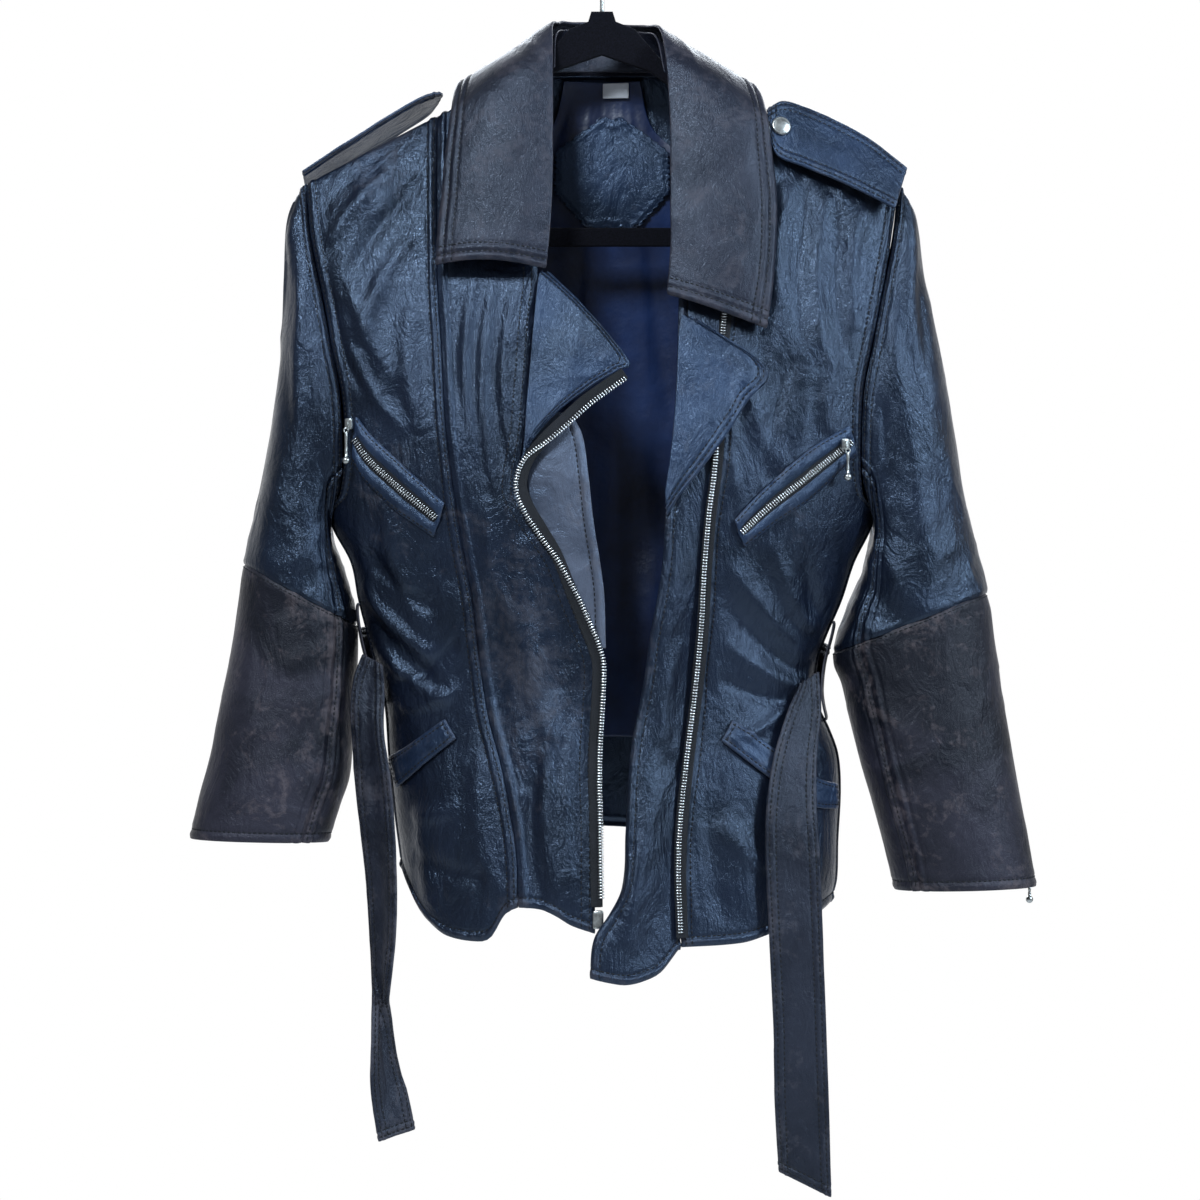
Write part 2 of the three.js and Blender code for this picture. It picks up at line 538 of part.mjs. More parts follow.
// The wearer's left cuff has a short zip at its outer back edge, with its slider and pull.
const cuff = sleevePlace(SLEEVE.l, 7.6, 9.75, -38, -26);
add("cuff_zip_l", wall(cuff, 1, 5, {
  thickness: TAPE, lift: 0.5, axis: vec(280, 0, -700) }), tape());
const cuffEnd = sleevePlace(SLEEVE.l, 0, 10, -32, -31)(0, 0.985);
const cuffSlider = add("cuff_slider_l", plate([6.5, 8, 3]), metal());
cuffSlider.position.copy(cuffEnd).add(vec(4.6, 2.4, -1));
cuffSlider.quaternion.setFromUnitVectors(vec(0, 0, 1), vec(1, 0.55, 0.05).normalize());
pull("cuff_pull_l", 12, cuffEnd.clone().add(vec(7.6, 4, -7.2)));

// ---- belt: round the back through the side loops, both ends hanging free ------------------------
const BELT_LIFT = 5;
add("belt_back", wall((u, v) => {
  const angle = mix(-86, 86, v);
  const drop = at([[-90, -572], [0, -566], [90, -586]], angle);
  return offBody(BACK, angle, drop + BELT_WIDTH * (0.5 - u), BELT_LIFT);
}, 2, 20, { thickness: DOUBLE, lift: 0 }), leather());
// Each row: left edge, then right edge, as [x, y, z]. The right end is folded lengthwise and turns
// over lower down; the left end hangs flat and is cut slanting.
const BELT_END_R = [[[-188, -26, -574], [-172, -36, -582]], [[-195, -28, -594], [-171, -39, -604]],
  [[-197, -31, -620], [-171, -45, -632]], [[-193, -32, -673], [-164, -52, -680]],
  [[-187, -34, -724], [-160, -58, -735]], [[-182, -38, -778], [-160, -62, -790]],
  [[-179, -44, -826], [-165, -62, -834]], [[-180, -56, -858], [-167, -44, -852]],
  [[-181, -62, -895], [-161, -38, -893]], [[-179, -60, -925], [-153, -40, -922]],
  [[-175, -58, -952], [-148, -42, -945]]];
const BELT_END_L = [[[155, -38, -598], [170, -31, -588]], [[145, -52, -618], [171, -42, -618]],
  [[134, -66, -652], [167, -58, -650]], [[128, -76, -690], [166, -72, -690]],
  [[127, -80, -725], [168, -78, -725]], [[129, -82, -775], [170, -80, -780]],
  [[133, -82, -860], [173, -80, -862]], [[134, -82, -918], [175, -80, -922]],
  [[137, -82, -972], [177, -80, -992]]];
add("belt_end_r", wall(strapOf(BELT_END_R), 2, 18, {
  thickness: DOUBLE, lift: 0, axis: vec(-170, 40, -780) }), leather());
add("belt_end_l", wall(strapOf(BELT_END_L), 2, 14, {
  thickness: DOUBLE, lift: 0, axis: vec(150, 40, -780) }), leather());

// Side loops stand over the belt and lie on the body above and below it.
for (const [side, sign, top, bottom] of [["r", -1, -532, -612], ["l", 1, -546, -626]]) {
  add(`loop_${side}`, wall((u, v) => {
    const rise = Math.sin(Math.PI * clamp(v, 0, 1)) ** 0.5;
    const angle = sign * mix(82, 88, u);
    return offBody(FRONT, angle, mix(top, bottom, v), 1 + 5.5 * rise);
  }, 1, 10, { thickness: LEATHER, lift: 0 }), leather());
}

// ---- inside the back: lining, bare label patch and size tab -------------------------------------
// A point inside the back at x and a height, in front of the back by a distance.
const insideBack = (x, z, front) => ring(BACK, angleAt(x, z), z).sub(vec(0, front, 0));
const LINING_FRONT = LEATHER + 7;
const ON_LINING = LINING_FRONT + SATIN + 2.4;
const LINING_HALF = [[-114, 30], [-150, 40], [-175, 66], [-210, 98], [-640, 112]];
add("lining_back", wall((u, v) => {
  const z = mix(-114, -640, v);
  return insideBack(mix(-1, 1, u) * at(LINING_HALF, z), z, LINING_FRONT);
}, 8, 9, { thickness: SATIN, lift: -SATIN }), satin());
const PATCH_X = 8;
const PATCH_HALF = [[-143, 9], [-170, 45], [-202, 46], [-231, 20]];
add("label_patch", wall((u, v) => {
  const z = mix(-143, -231, v);
  return insideBack(PATCH_X + mix(-1, 1, u) * at(PATCH_HALF, z), z, ON_LINING);
}, 4, 6, { thickness: LEATHER, lift: -LEATHER }), wornLeather());
add("size_label", wall((u, v) => insideBack(mix(1, 21, u), mix(-115, -126, v), ON_LINING),
  1, 1, { thickness: 0.8, lift: -0.8 }), paleCloth());

// ---- hanger and hook ----------------------------------------------------------------------------
const HANGER_ARM = [[0, -62], [8.5, -62], [11, -70], [26, -76], [38, -90], [58, -113],
  [70, -123], [115, -149], [160, -172], [200, -194], [212, -201]];
const hangerOutline = new THREE.Shape();
hangerOutline.moveTo(0, HANGER_NECK_Z);
for (const [x, z] of HANGER_ARM.slice(1)) hangerOutline.lineTo(x, z);
hangerOutline.quadraticCurveTo(222, -226, 196, -249);
hangerOutline.lineTo(-196, -249);
hangerOutline.quadraticCurveTo(-222, -226, -212, -198);
for (const [x, z] of HANGER_ARM.slice(1).reverse().slice(1)) hangerOutline.lineTo(-x, z);
const hangerGap = new THREE.Path();
hangerGap.moveTo(0, -97);
hangerGap.lineTo(-38, -110);
hangerGap.lineTo(-72, -136);
hangerGap.lineTo(-118, -160);
hangerGap.lineTo(-190, -202);
hangerGap.quadraticCurveTo(-203, -222, -188, -234);
hangerGap.lineTo(188, -234);
hangerGap.quadraticCurveTo(203, -222, 190, -202);
hangerGap.lineTo(118, -160);
hangerGap.lineTo(72, -136);
hangerGap.lineTo(38, -110);
hangerOutline.holes.push(hangerGap);
const hangerSolid = new THREE.ExtrudeGeometry(hangerOutline, {
  depth: HANGER_THICK, bevelEnabled: false, curveSegments: 4 });
const hanger = add("hanger", hangerSolid, flock());
hanger.rotation.x = Math.PI / 2;
hanger.position.y = HANGER_THICK / 2;

class HookPath extends THREE.Curve {
  // A straight stem, a bend out to the side, then a loop over the top, open at the other side.
  getPoint(t, target = vec(0, 0, 0)) {
    const stem = 0.12;
    const bend = 0.3;
    const centre = HOOK_WIRE - HOOK_LOOP;
    const start = -70 * RAD;
    const onLoop = (a) => vec(HOOK_LOOP * Math.cos(a), 0, centre + HOOK_LOOP * Math.sin(a));
    const foot = vec(0, 0, HANGER_NECK_Z + SEAM);
    const knee = vec(0, 0, -47);
    if (t < stem) return target.lerpVectors(foot, knee, t / stem);
    if (t < bend) {
      const f = (t - stem) / (bend - stem);
      const end = onLoop(start);
      const control = vec(0, 0, -41);
      return target.copy(knee).multiplyScalar((1 - f) ** 2)
        .addScaledVector(control, 2 * f * (1 - f)).addScaledVector(end, f * f);
    }
    return target.copy(onLoop(mix(start, 205 * RAD, (t - bend) / (1 - bend))));
  }
}
const wire = new THREE.Shape();
wire.absarc(0, 0, HOOK_WIRE, 0, 2 * Math.PI);
add("hook", new THREE.ExtrudeGeometry(wire, {
  steps: 22, curveSegments: 2, extrudePath: new HookPath() }), metal());

export default jacket;
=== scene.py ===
"""A worn leather biker jacket hanging open on a flocked hanger. Forms are in millimetres, and
meshes are made in metres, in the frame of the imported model: +Z up, -Y the jacket's front."""
import math

import bmesh
import bpy
import numpy as np
from mathutils import Matrix, Vector


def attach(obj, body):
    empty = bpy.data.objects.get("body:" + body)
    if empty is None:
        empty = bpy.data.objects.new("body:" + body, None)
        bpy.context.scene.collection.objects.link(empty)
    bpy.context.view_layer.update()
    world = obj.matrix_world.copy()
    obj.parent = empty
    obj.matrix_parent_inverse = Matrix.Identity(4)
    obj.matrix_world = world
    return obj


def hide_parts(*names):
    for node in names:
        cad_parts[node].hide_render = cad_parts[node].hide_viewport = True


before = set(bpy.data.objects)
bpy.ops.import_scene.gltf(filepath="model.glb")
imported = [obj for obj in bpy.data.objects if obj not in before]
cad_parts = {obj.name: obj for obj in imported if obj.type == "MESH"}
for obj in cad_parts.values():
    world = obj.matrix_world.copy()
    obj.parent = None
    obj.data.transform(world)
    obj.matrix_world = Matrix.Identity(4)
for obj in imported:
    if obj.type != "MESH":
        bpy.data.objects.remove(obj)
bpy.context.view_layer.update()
MM = 0.001
BODY = "jacket"

# ---- the garment's form, as in the solids ------------------------------------------------------
LEATHER, DOUBLE, SATIN, TAPE = 1.4, 2.4, 1.0, 1.2
NECK_X, NECK_Z, SLOPE, ROUND_OVER = 70.0, -112.0, 0.52, 60.0
UNDERARM_Z = -470.0
FRONT, BACK = -1, 1
WIDTH_R = [(-60, 250), (-330, 246), (-405, 232), (-470, 214.5), (-500, 199), (-530, 193),
           (-561, 185), (-608, 173), (-655, 169), (-702, 164), (-741, 159), (-800, 155)]
WIDTH_L = [(-60, 250), (-330, 246), (-405, 232), (-470, 214.5), (-500, 200), (-530, 190),
           (-558, 178), (-578, 171), (-600, 169), (-615, 172), (-632, 180), (-652, 187),
           (-680, 189), (-720, 187), (-751, 186), (-769, 182), (-830, 178)]
DEPTH_FRONT = [(-60, 2), (-112, 8), (-160, 18), (-200, 28), (-260, 45), (-330, 66), (-450, 82),
               (-600, 75), (-700, 92), (-830, 110)]
DEPTH_BACK = [(-60, 52), (-107, 52), (-150, 46), (-200, 44), (-260, 50), (-330, 55), (-450, 60),
              (-600, 54), (-700, 66), (-830, 78)]
ARMHOLE = [(-198, 236), (-240, 231), (-285, 222), (-330, 213), (-365, 206), (-405, 204),
           (-440, 206), (-470, 214.4)]
PRINCESS = [(-140, -131), (-271, -129.5), (-330, -126), (-390, -122), (-450, -115), (-495, -108),
            (-530, -101), (-580, -95), (-620, -89), (-654, -80), (-686, -73), (-724, -67),
            (-770, -65)]
EDGE_R = [(-112, -70), (-180, -58), (-272, -51), (-307, -54), (-362, -58), (-400, -61),
          (-444, -67), (-466, -57), (-482, -46), (-500, -34), (-526, -24), (-551, -14),
          (-570, -6), (-585, -3), (-655, -7), (-700, -6), (-785, -6)]
EDGE_L = [(-116, 71), (-200, 62), (-305, 60), (-380, 57), (-432, 52), (-470, 49), (-510, 46),
          (-560, 37), (-590, 33), (-649, 22), (-709, 18), (-750, 15), (-770, 6), (-790, -6),
          (-819, -9)]
ZIP_L = [(-126, 100), (-306, 97), (-326, 94), (-418, 90), (-446, 86), (-474, 82), (-506, 80),
         (-536, 78), (-585, 72.5), (-605, 72), (-655, 67), (-691, 62), (-727, 59), (-799, 61)]
HEM_SIDE_R = [(-159, -742), (-154, -756), (-146, -772), (-134, -784), (-122, -791), (-100, -794),
              (-88, -791), (-76, -773), (-65.5, -767)]
HEM_CENTRE_R = [(-65, -767), (-48, -768), (-36, -773), (-24, -780), (-6, -786)]
HEM_OVERLAP = [(-9, -819), (4, -822), (19, -824), (34, -821), (46, -815), (59, -799)]
HEM_SIDE_L = [(60, -797), (108, -795), (127, -790), (150, -781), (170, -775), (184, -768)]
HEM_BACK = [(-159, -742), (-100, -722), (0, -713), (100, -728), (183, -768)]


def mix(a, b, f):
    return a + (b - a) * f


def at(rows, t):
    """Smooth values at t from rows of (t, value), held at the ends."""
    rows = np.array(rows, float)
    if rows[-1, 0] < rows[0, 0]:
        rows = rows[::-1]
    ts, vs = rows[:, 0], rows[:, 1]
    slopes = np.empty(len(ts))
    slopes[1:-1] = (vs[2:] - vs[:-2]) / (ts[2:] - ts[:-2])
    slopes[0] = (vs[1] - vs[0]) / (ts[1] - ts[0])
    slopes[-1] = (vs[-1] - vs[-2]) / (ts[-1] - ts[-2])
    t = np.clip(np.asarray(t, float), ts[0], ts[-1])
    i = np.clip(np.searchsorted(ts, t) - 1, 0, len(ts) - 2)
    span = ts[i + 1] - ts[i]
    f = (t - ts[i]) / span
    bend = f * f * (3 - 2 * f)
    return (mix(vs[i], vs[i + 1], bend) + slopes[i] * span * f * (1 - f) ** 2
            - slopes[i + 1] * span * f * f * (1 - f))


def shoulder_z(x):
    return NECK_Z - SLOPE * (np.abs(x) - NECK_X)


def width_at(x, z):
    return np.where(np.asarray(x) < 0, at(WIDTH_R, z), at(WIDTH_L, z))


def angle_at(x, z):
    return np.degrees(np.arcsin(np.clip(x / width_at(x, z), -1, 1)))


def ring(side, angle, z):
    """Points of the front or back at an angle from the middle and a height."""
    angle, z = np.broadcast_arrays(np.asarray(angle, float), np.asarray(z, float))
    x = width_at(angle, z) * np.sin(np.radians(angle))
    below = np.clip((shoulder_z(x) - z) / ROUND_OVER, 0, 1)
    rounding = np.sqrt(1 - (1 - below) ** 2)
    depth = at(DEPTH_FRONT if side == FRONT else DEPTH_BACK, z)
    return np.stack([x, side * depth * np.cos(np.radians(angle)) * rounding, z], -1)


def unit(v):
    return v / np.maximum(np.linalg.norm(v, axis=-1, keepdims=True), 1e-9)


def off_body(side, angle, z, lift=0.0):
    """Points moved out from the body by lift, and the outward normals."""
    across = ring(side, angle + 1, z) - ring(side, angle - 1, z)
    down = ring(side, angle, z - 1) - ring(side, angle, z + 1)
    normal = unit(np.cross(across, down))
    normal = normal * np.where(normal[..., 1:2] * side < 0, -1, 1)
    return ring(side, angle, z) + normal * np.asarray(lift)[..., None], normal


# ---- noise and creases ---------------------------------------------------------------------------
NOISE_CELLS = 64  # the noise repeats after so many cells
SIDE_FADE, SHOULDER_FADE = 16, 40  # folds die away over this far towards those seams


def noise(x, y, seed):
    """Smooth value noise from -1 to 1, one cell to each unit."""
    table = np.random.RandomState(seed).uniform(-1, 1, (NOISE_CELLS, NOISE_CELLS))
    i, j = np.floor(x).astype(int), np.floor(y).astype(int)
    f, g = x - i, y - j
    f, g = f * f * (3 - 2 * f), g * g * (3 - 2 * g)

    def corner(a, b):
        return table[(i + a) % NOISE_CELLS, (j + b) % NOISE_CELLS]
    return mix(mix(corner(0, 0), corner(1, 0), f), mix(corner(0, 1), corner(1, 1), f), g)


def crumple(x, y, seed, cell, turn=0.0, stretch=1.0):
    """Sharp-ridged noise: folds cell mm apart, drawn out by stretch along the turn."""
    c, s = math.cos(math.radians(turn)), math.sin(math.radians(turn))
    a, b = (x * c + y * s) / (cell * stretch), (y * c - x * s) / cell
    a, b = a + 0.35 * noise(a * 1.3, b * 1.3, seed + 7), b + 0.35 * noise(a, b, seed + 9)
    coarse = 1 - np.abs(noise(a, b, seed)) * 2
    fine = 1 - np.abs(noise(a * 2.1, b * 2.1, seed + 1)) * 2
    return 0.84 * coarse + 0.16 * fine


def crease(x, z, ends, width, height):
    """One soft ridge (or trough, where height is negative) along a line, fading at its ends."""
    x0, z0, x1, z1 = ends
    dx, dz = x1 - x0, z1 - z0
    long = math.hypot(dx, dz)
    along = ((x - x0) * dx + (z - z0) * dz) / long
    off = ((x - x0) * dz - (z - z0) * dx) / long
    bow = 0.06 * long * np.sin(np.pi * np.clip(along / long, 0, 1))
    fade = np.clip(along / long, 0, 1) * np.clip(1 - along / long, 0, 1) * 4
    return height * np.sqrt(fade) * np.exp(-(((off - bow) / width) ** 2))


def patch(x, z, cx, cz, rx, rz):
    """A soft mask: 1 at the centre, 0 beyond the radii."""
    return np.exp(-(((x - cx) / rx) ** 2 + ((z - cz) / rz) ** 2))


def patches(x, z, rows):
    """The sum of soft masks, each given as strength, centre x and z, and radii."""
    return sum(strength * patch(x, z, *place) for strength, *place in rows)


# Main creases of the front: the line's ends (x0, z0, x1, z1), half-width and height.
FRONT_CREASES = [
    # gathers under the left shoulder strap, fanning down
    ((150, -200, 138, -300), 5, 1.8), ((165, -205, 158, -330), 5, -1.8),
    ((178, -210, 176, -350), 5, 2.2), ((192, -215, 192, -345), 5, -1.8),
    ((205, -222, 200, -320), 5, 1.8), ((128, -200, 122, -290), 6, -1.4),
    # right shoulder, diagonal
    ((-150, -175, -215, -250), 6, 2.0), ((-140, -195, -205, -290), 6, -1.8),
    ((-165, -170, -225, -225), 5, -1.6), ((-140, -230, -190, -330), 7, 2.0),
    ((-205, -250, -160, -360), 7, 1.6), ((-215, -280, -185, -370), 5, -1.8),
    ((-200, -330, -150, -400), 5, 1.4),
    # right chest and waist
    ((-150, -300, -140, -400), 8, 2.0), ((-170, -450, -135, -560), 8, 2.4),
    ((-185, -490, -130, -540), 6, -2.4), ((-188, -515, -128, -575), 6, 2.6),
    ((-180, -545, -125, -600), 6, -2.4), ((-172, -568, -118, -610), 6, 2.2),
    ((-165, -600, -112, -560), 5, -1.8), ((-160, -615, -110, -600), 5, 1.8),
    ((-150, -700, -110, -690), 7, 1.6), ((-150, -730, -90, -745), 8, -1.6),
    ((-95, -650, -80, -760), 6, 1.8), ((-140, -690, -130, -780), 7, 1.5),
    # right centre front, fine upright folds and the long front folds
    ((-100, -275, -96, -420), 3, 1.3), ((-92, -280, -90, -440), 3, -1.2),
    ((-84, -275, -82, -450), 3, 1.2), ((-76, -282, -75, -430), 3, -1.1),
    ((-68, -285, -70, -420), 3, 1.2), ((-110, -290, -106, -400), 3, -1.1),
    ((-60, -480, -40, -640), 9, 2.4), ((-80, -500, -62, -680), 8, -2.2),
    ((-35, -600, -30, -770), 7, 2.4), ((-50, -650, -48, -770), 6, -2.2),
    ((-20, -620, -20, -770), 5, 1.6), ((-90, -450, -66, -560), 6, 1.6),
    # left chest
    ((110, -330, 140, -430), 8, 2.0), ((150, -340, 130, -440), 7, -1.8),
    ((186, -330, 176, -400), 6, 1.8), ((108, -350, 104, -450), 4, 1.3),
    # left waist, drawn to the belt loop
    ((100, -500, 165, -575), 7, 2.4), ((95, -530, 160, -590), 6, -2.2),
    ((130, -480, 172, -560), 6, 2.2), ((92, -560, 158, -600), 6, 2.0),
    ((90, -590, 155, -612), 5, -1.8), ((160, -500, 180, -555), 5, -2.0),
    ((100, -640, 150, -610), 5, 1.8), ((90, -700, 130, -740), 7, 1.6),
    ((85, -680, 95, -780), 6, -1.5), ((110, -700, 118, -785), 6, 1.5),
    ((70, -660, 72, -780), 4, 1.4),
]
# Similar creases on the hidden back.
BACK_CREASES = [
    ((-190, -230, -120, -330), 9, 2.2), ((190, -230, 120, -330), 9, 2.2),
    ((-200, -300, -130, -380), 8, -2.0), ((200, -300, 130, -380), 8, -2.0),
    ((-60, -180, -70, -420), 10, 1.6), ((60, -180, 72, -420), 10, 1.6),
    ((-150, -480, -60, -550), 8, 2.4), ((150, -490, 60, -555), 8, 2.4),
    ((-120, -530, -20, -560), 6, -2.2), ((120, -530, 20, -562), 6, -2.2),
    ((-140, -610, -40, -650), 8, 2.0), ((140, -615, 40, -655), 8, 2.0),
    ((0, -420, 6, -560), 9, -1.6), ((-30, -600, -36, -700), 7, 1.8),
    ((40, -600, 46, -700), 7, 1.8), ((-110, -640, -120, -720), 7, -1.6),
    ((110, -640, 125, -730), 7, 1.8), ((0, -610, 0, -700), 8, 1.4),
]


# Where the leather is gathered or drawn in, as strength, centre x and z, and radii.
SHOULDER_GATHERS = [(1, 172, -225, 48, 55), (0.8, -180, -210, 45, 45)]
FRONT_WAIST = [(1, -165, -560, 50, 60), (1, 160, -580, 55, 50)]
BACK_WAIST = [(1, 0, -560, 260, 60)]


def held_at_seams(height, x, z):
    """Folds die away towards the shoulder and side seams."""
    below = np.clip((shoulder_z(x) - z) / SHOULDER_FADE, 0, 1)
    inside = np.clip((width_at(x, z) - np.abs(x)) / SIDE_FADE, 0, 1)
    return height * below * inside


def front_folds(x, z):
    """Height of the front's creases, gathers and soft unevenness at x and z."""
    h = 1.7 * sum(crease(x, z, *one) for one in FRONT_CREASES)
    h = h + patches(x, z, SHOULDER_GATHERS) * 1.9 * crumple(x, z, 21, 17, turn=97, stretch=5)
    h = h + patches(x, z, FRONT_WAIST) * 2.6 * crumple(x, z, 31, 22, turn=-42, stretch=3)
    h = h + 2.3 * noise(x / 40, z / 80, 41) + 1.2 * crumple(x, z, 51, 38, turn=82, stretch=3)
    return held_at_seams(h, x, z)


def back_folds(x, z):
    """The same for the back, which hangs smoother."""
    h = sum(crease(x, z, *one) for one in BACK_CREASES)
    h = h + 1.2 * noise(x / 60, z / 80, 43) + 0.8 * crumple(x, z, 53, 34, turn=80, stretch=2)
    h = h + patches(x, z, BACK_WAIST) * 1.4 * crumple(x, z, 33, 20, turn=60, stretch=2)
    return held_at_seams(h, x, z)


def front(x, z, lift=0.0):
    """Points on the creased front, moved out by lift, with their normals."""
    return off_body(FRONT, angle_at(x, z), z, lift + front_folds(x, z))


# ---- meshes --------------------------------------------------------------------------------------
def add_piece(name, mesh):
    """Puts a mesh in the scene as an object, named apart from the CAD node it stands for."""
    piece = bpy.data.objects.new(name + "_fine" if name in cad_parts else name, mesh)
    bpy.context.scene.collection.objects.link(piece)
    return piece


def grid_faces(rows, cols, tube=False, ring=False):
    """Quads joining a grid of points: a tube closes across the grid, a ring both ways."""
    index = np.arange(rows * cols).reshape(rows, cols)
    if tube or ring:
        index = np.concatenate([index, index[:, :1]], 1)
    if ring:
        index = np.concatenate([index, index[:1]], 0)
    corners = index[:-1, :-1], index[:-1, 1:], index[1:, 1:], index[1:, :-1]
    return np.stack(corners, -1).reshape(-1, 4)


def make_mesh(name, verts, faces, material, wear=None):
    """An object from vertices in mm; faces are rows of indices, all quads or all triangles."""
    verts = np.asarray(verts, float).reshape(-1, 3) * MM
    faces = np.asarray(faces, int)
    sides = faces.shape[1]
    mesh = bpy.data.meshes.new(name)
    mesh.vertices.add(len(verts))
    mesh.vertices.foreach_set("co", verts.ravel())
    mesh.loops.add(faces.size)
    mesh.loops.foreach_set("vertex_index", faces.ravel())
    mesh.polygons.add(len(faces))
    mesh.polygons.foreach_set("loop_start", np.arange(0, faces.size, sides))
    mesh.polygons.foreach_set("loop_total", np.full(len(faces), sides))
    mesh.polygons.foreach_set("use_smooth", np.full(len(faces), True))
    mesh.update(calc_edges=True)
    mesh.validate()
    layer = mesh.attributes.new("wear", "FLOAT", "POINT")
    values = np.zeros(len(verts)) if wear is None else np.asarray(wear, float).ravel()
    layer.data.foreach_set("value", values)
    mesh.materials.append(material)
    return add_piece(name, mesh)


def settle(piece, slot, *nodes, body=BODY):
    """Rides the piece on its body, in place of CAD nodes. The slot is not used."""
    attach(piece, body)
    if nodes:
        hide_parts(*nodes)
    return piece


def grid_normals(points, away):
    """Normals of a grid of points, turned away from the point or points given."""
    across = np.gradient(points, axis=1)
    down = np.gradient(points, axis=0)
    normal = unit(np.cross(across, down))
    middle = tuple(n // 2 for n in points.shape[:2])
    if np.dot(normal[middle], points[middle] - away) < 0:
        normal = -normal
    return normal


RIM_TURNS = (45, 90, 135)  # a cut edge is rounded over these angles
RIM_BULGE = 0.5  # and stands out by this share of the thickness
RIM_WEAR = 0.25


def wall_mesh(name, points, normals, thickness, material, wear):
    """A closed shell with rounded edges: its outer face is the grid of points."""
    rows, cols = points.shape[:2]
    index = np.arange(rows * cols).reshape(rows, cols)
    loop = np.concatenate([index[0, :-1], index[:-1, -1], index[-1, :0:-1], index[:0:-1, 0]])
    outer = points.reshape(-1, 3)
    flat_n = normals.reshape(-1, 3)
    inner = outer - flat_n * thickness
    ahead = np.roll(loop, -1)
    behind = np.roll(loop, 1)
    outward = unit(np.cross(outer[ahead] - outer[behind], flat_n[loop]))
    centre = outer.mean(axis=0)
    if np.sum(outward * (outer[loop] - centre)) < 0:
        outward = -outward
    rings = []
    for turn in np.radians(RIM_TURNS):
        rings.append(outer[loop] + outward * (RIM_BULGE * thickness * math.sin(turn))
                     - flat_n[loop] * (thickness * (0.5 - 0.5 * math.cos(turn))))
    verts = np.concatenate([outer, inner] + rings)
    face, rim = rows * cols, len(loop)
    rims = [2 * face + k * rim + np.arange(rim) for k in range(len(rings))]
    outside = grid_faces(rows, cols)
    faces = [outside, outside[:, ::-1] + face]
    for first, second in zip([loop] + rims, rims + [loop + face]):
        faces.append(np.stack([np.roll(first, -1), first, second, np.roll(second, -1)], 1))
    faces = np.concatenate(faces)
    corner = verts[faces[0]]
    if np.dot(np.cross(corner[1] - corner[0], corner[2] - corner[0]), flat_n[0]) < 0:
        faces = faces[:, ::-1]
    flat = np.asarray(wear, float).ravel()
    values = np.concatenate([flat, np.zeros(face)]
                            + [np.clip(flat[loop] + RIM_WEAR, 0, 1)] * len(rings))
    return make_mesh(name, verts, faces, material, values)


FINE_STEP = 1.1  # mm between grid lines near an edge


def spread(long, coarse, edge):
    """Places from 0 to 1 along a length in mm, close together within edge mm of both ends."""
    edge = min(edge, long / 3)
    near = np.linspace(0, edge, max(int(edge / FINE_STEP), 2) + 1)
    count = max(int((long - 2 * edge) / coarse), 1)
    middle = np.linspace(edge, long - edge, count + 1)
    return np.concatenate([near[:-1], middle, long - near[::-1][1:]]) / long


class Sheet:
    """A grid of cloth: points, normals and the distance in mm from each of its four edges."""

    def __init__(self, place, long, wide, away, coarse=3.0, edges=(11, 11)):
        self.u = spread(wide, coarse, edges[0])
        self.v = spread(long, coarse, edges[1])
        self.U, self.V = np.meshgrid(self.u, self.v)
        self.points = place(self.U, self.V)
        self.normals = grid_normals(self.points, np.asarray(away, float))
        step_u = np.linalg.norm(np.diff(self.points, axis=1), axis=2)
        step_v = np.linalg.norm(np.diff(self.points, axis=0), axis=2)
        zero_u, zero_v = np.zeros((len(self.v), 1)), np.zeros((1, len(self.u)))
        left = np.concatenate([zero_u, np.cumsum(step_u, 1)], 1)
        top = np.concatenate([zero_v, np.cumsum(step_v, 0)], 0)
        self.distance = {"left": left, "right": left[:, -1:] - left,
                         "top": top, "bottom": top[-1:] - top}

    def push(self, height):
        """Moves the points out along their normals."""
        self.points = self.points + self.normals * height[..., None]
        fresh = grid_normals(self.points, self.points[0, 0] - self.normals[0, 0])
        flip = np.sum(fresh * self.normals) < 0
        self.normals = -fresh if flip else fresh

    def line(self, edge, inset, lift=0.0):
        """The points and normals along an edge, at a distance in from it."""
        far = self.distance[edge]
        rows = edge in ("left", "right")
        grids = [self.points, self.normals]
        if not rows:
            far, grids = far.T, [g.transpose(1, 0, 2) for g in grids]
        if edge in ("right", "bottom"):
            far, grids = far[:, ::-1], [g[:, ::-1] for g in grids]
        k = np.clip(np.array([np.searchsorted(row, inset) for row in far]), 1, far.shape[1] - 1)
        r = np.arange(len(far))
        f = np.clip((inset - far[r, k - 1]) / np.maximum(far[r, k] - far[r, k - 1], 1e-6), 0, 1)
        out = [mix(g[r, k - 1], g[r, k], f[:, None]) for g in grids]
        return out[0] + unit(out[1]) * lift, unit(out[1])


def bump_at(distance, place, width, height):
    return height * np.exp(-(((distance - place) / width) ** 2))


def edge_profile(*bumps):
    """Height by the distance in from an edge, summed from bumps: place, half-width, height."""
    return lambda distance: sum(bump_at(distance, *one) for one in bumps)


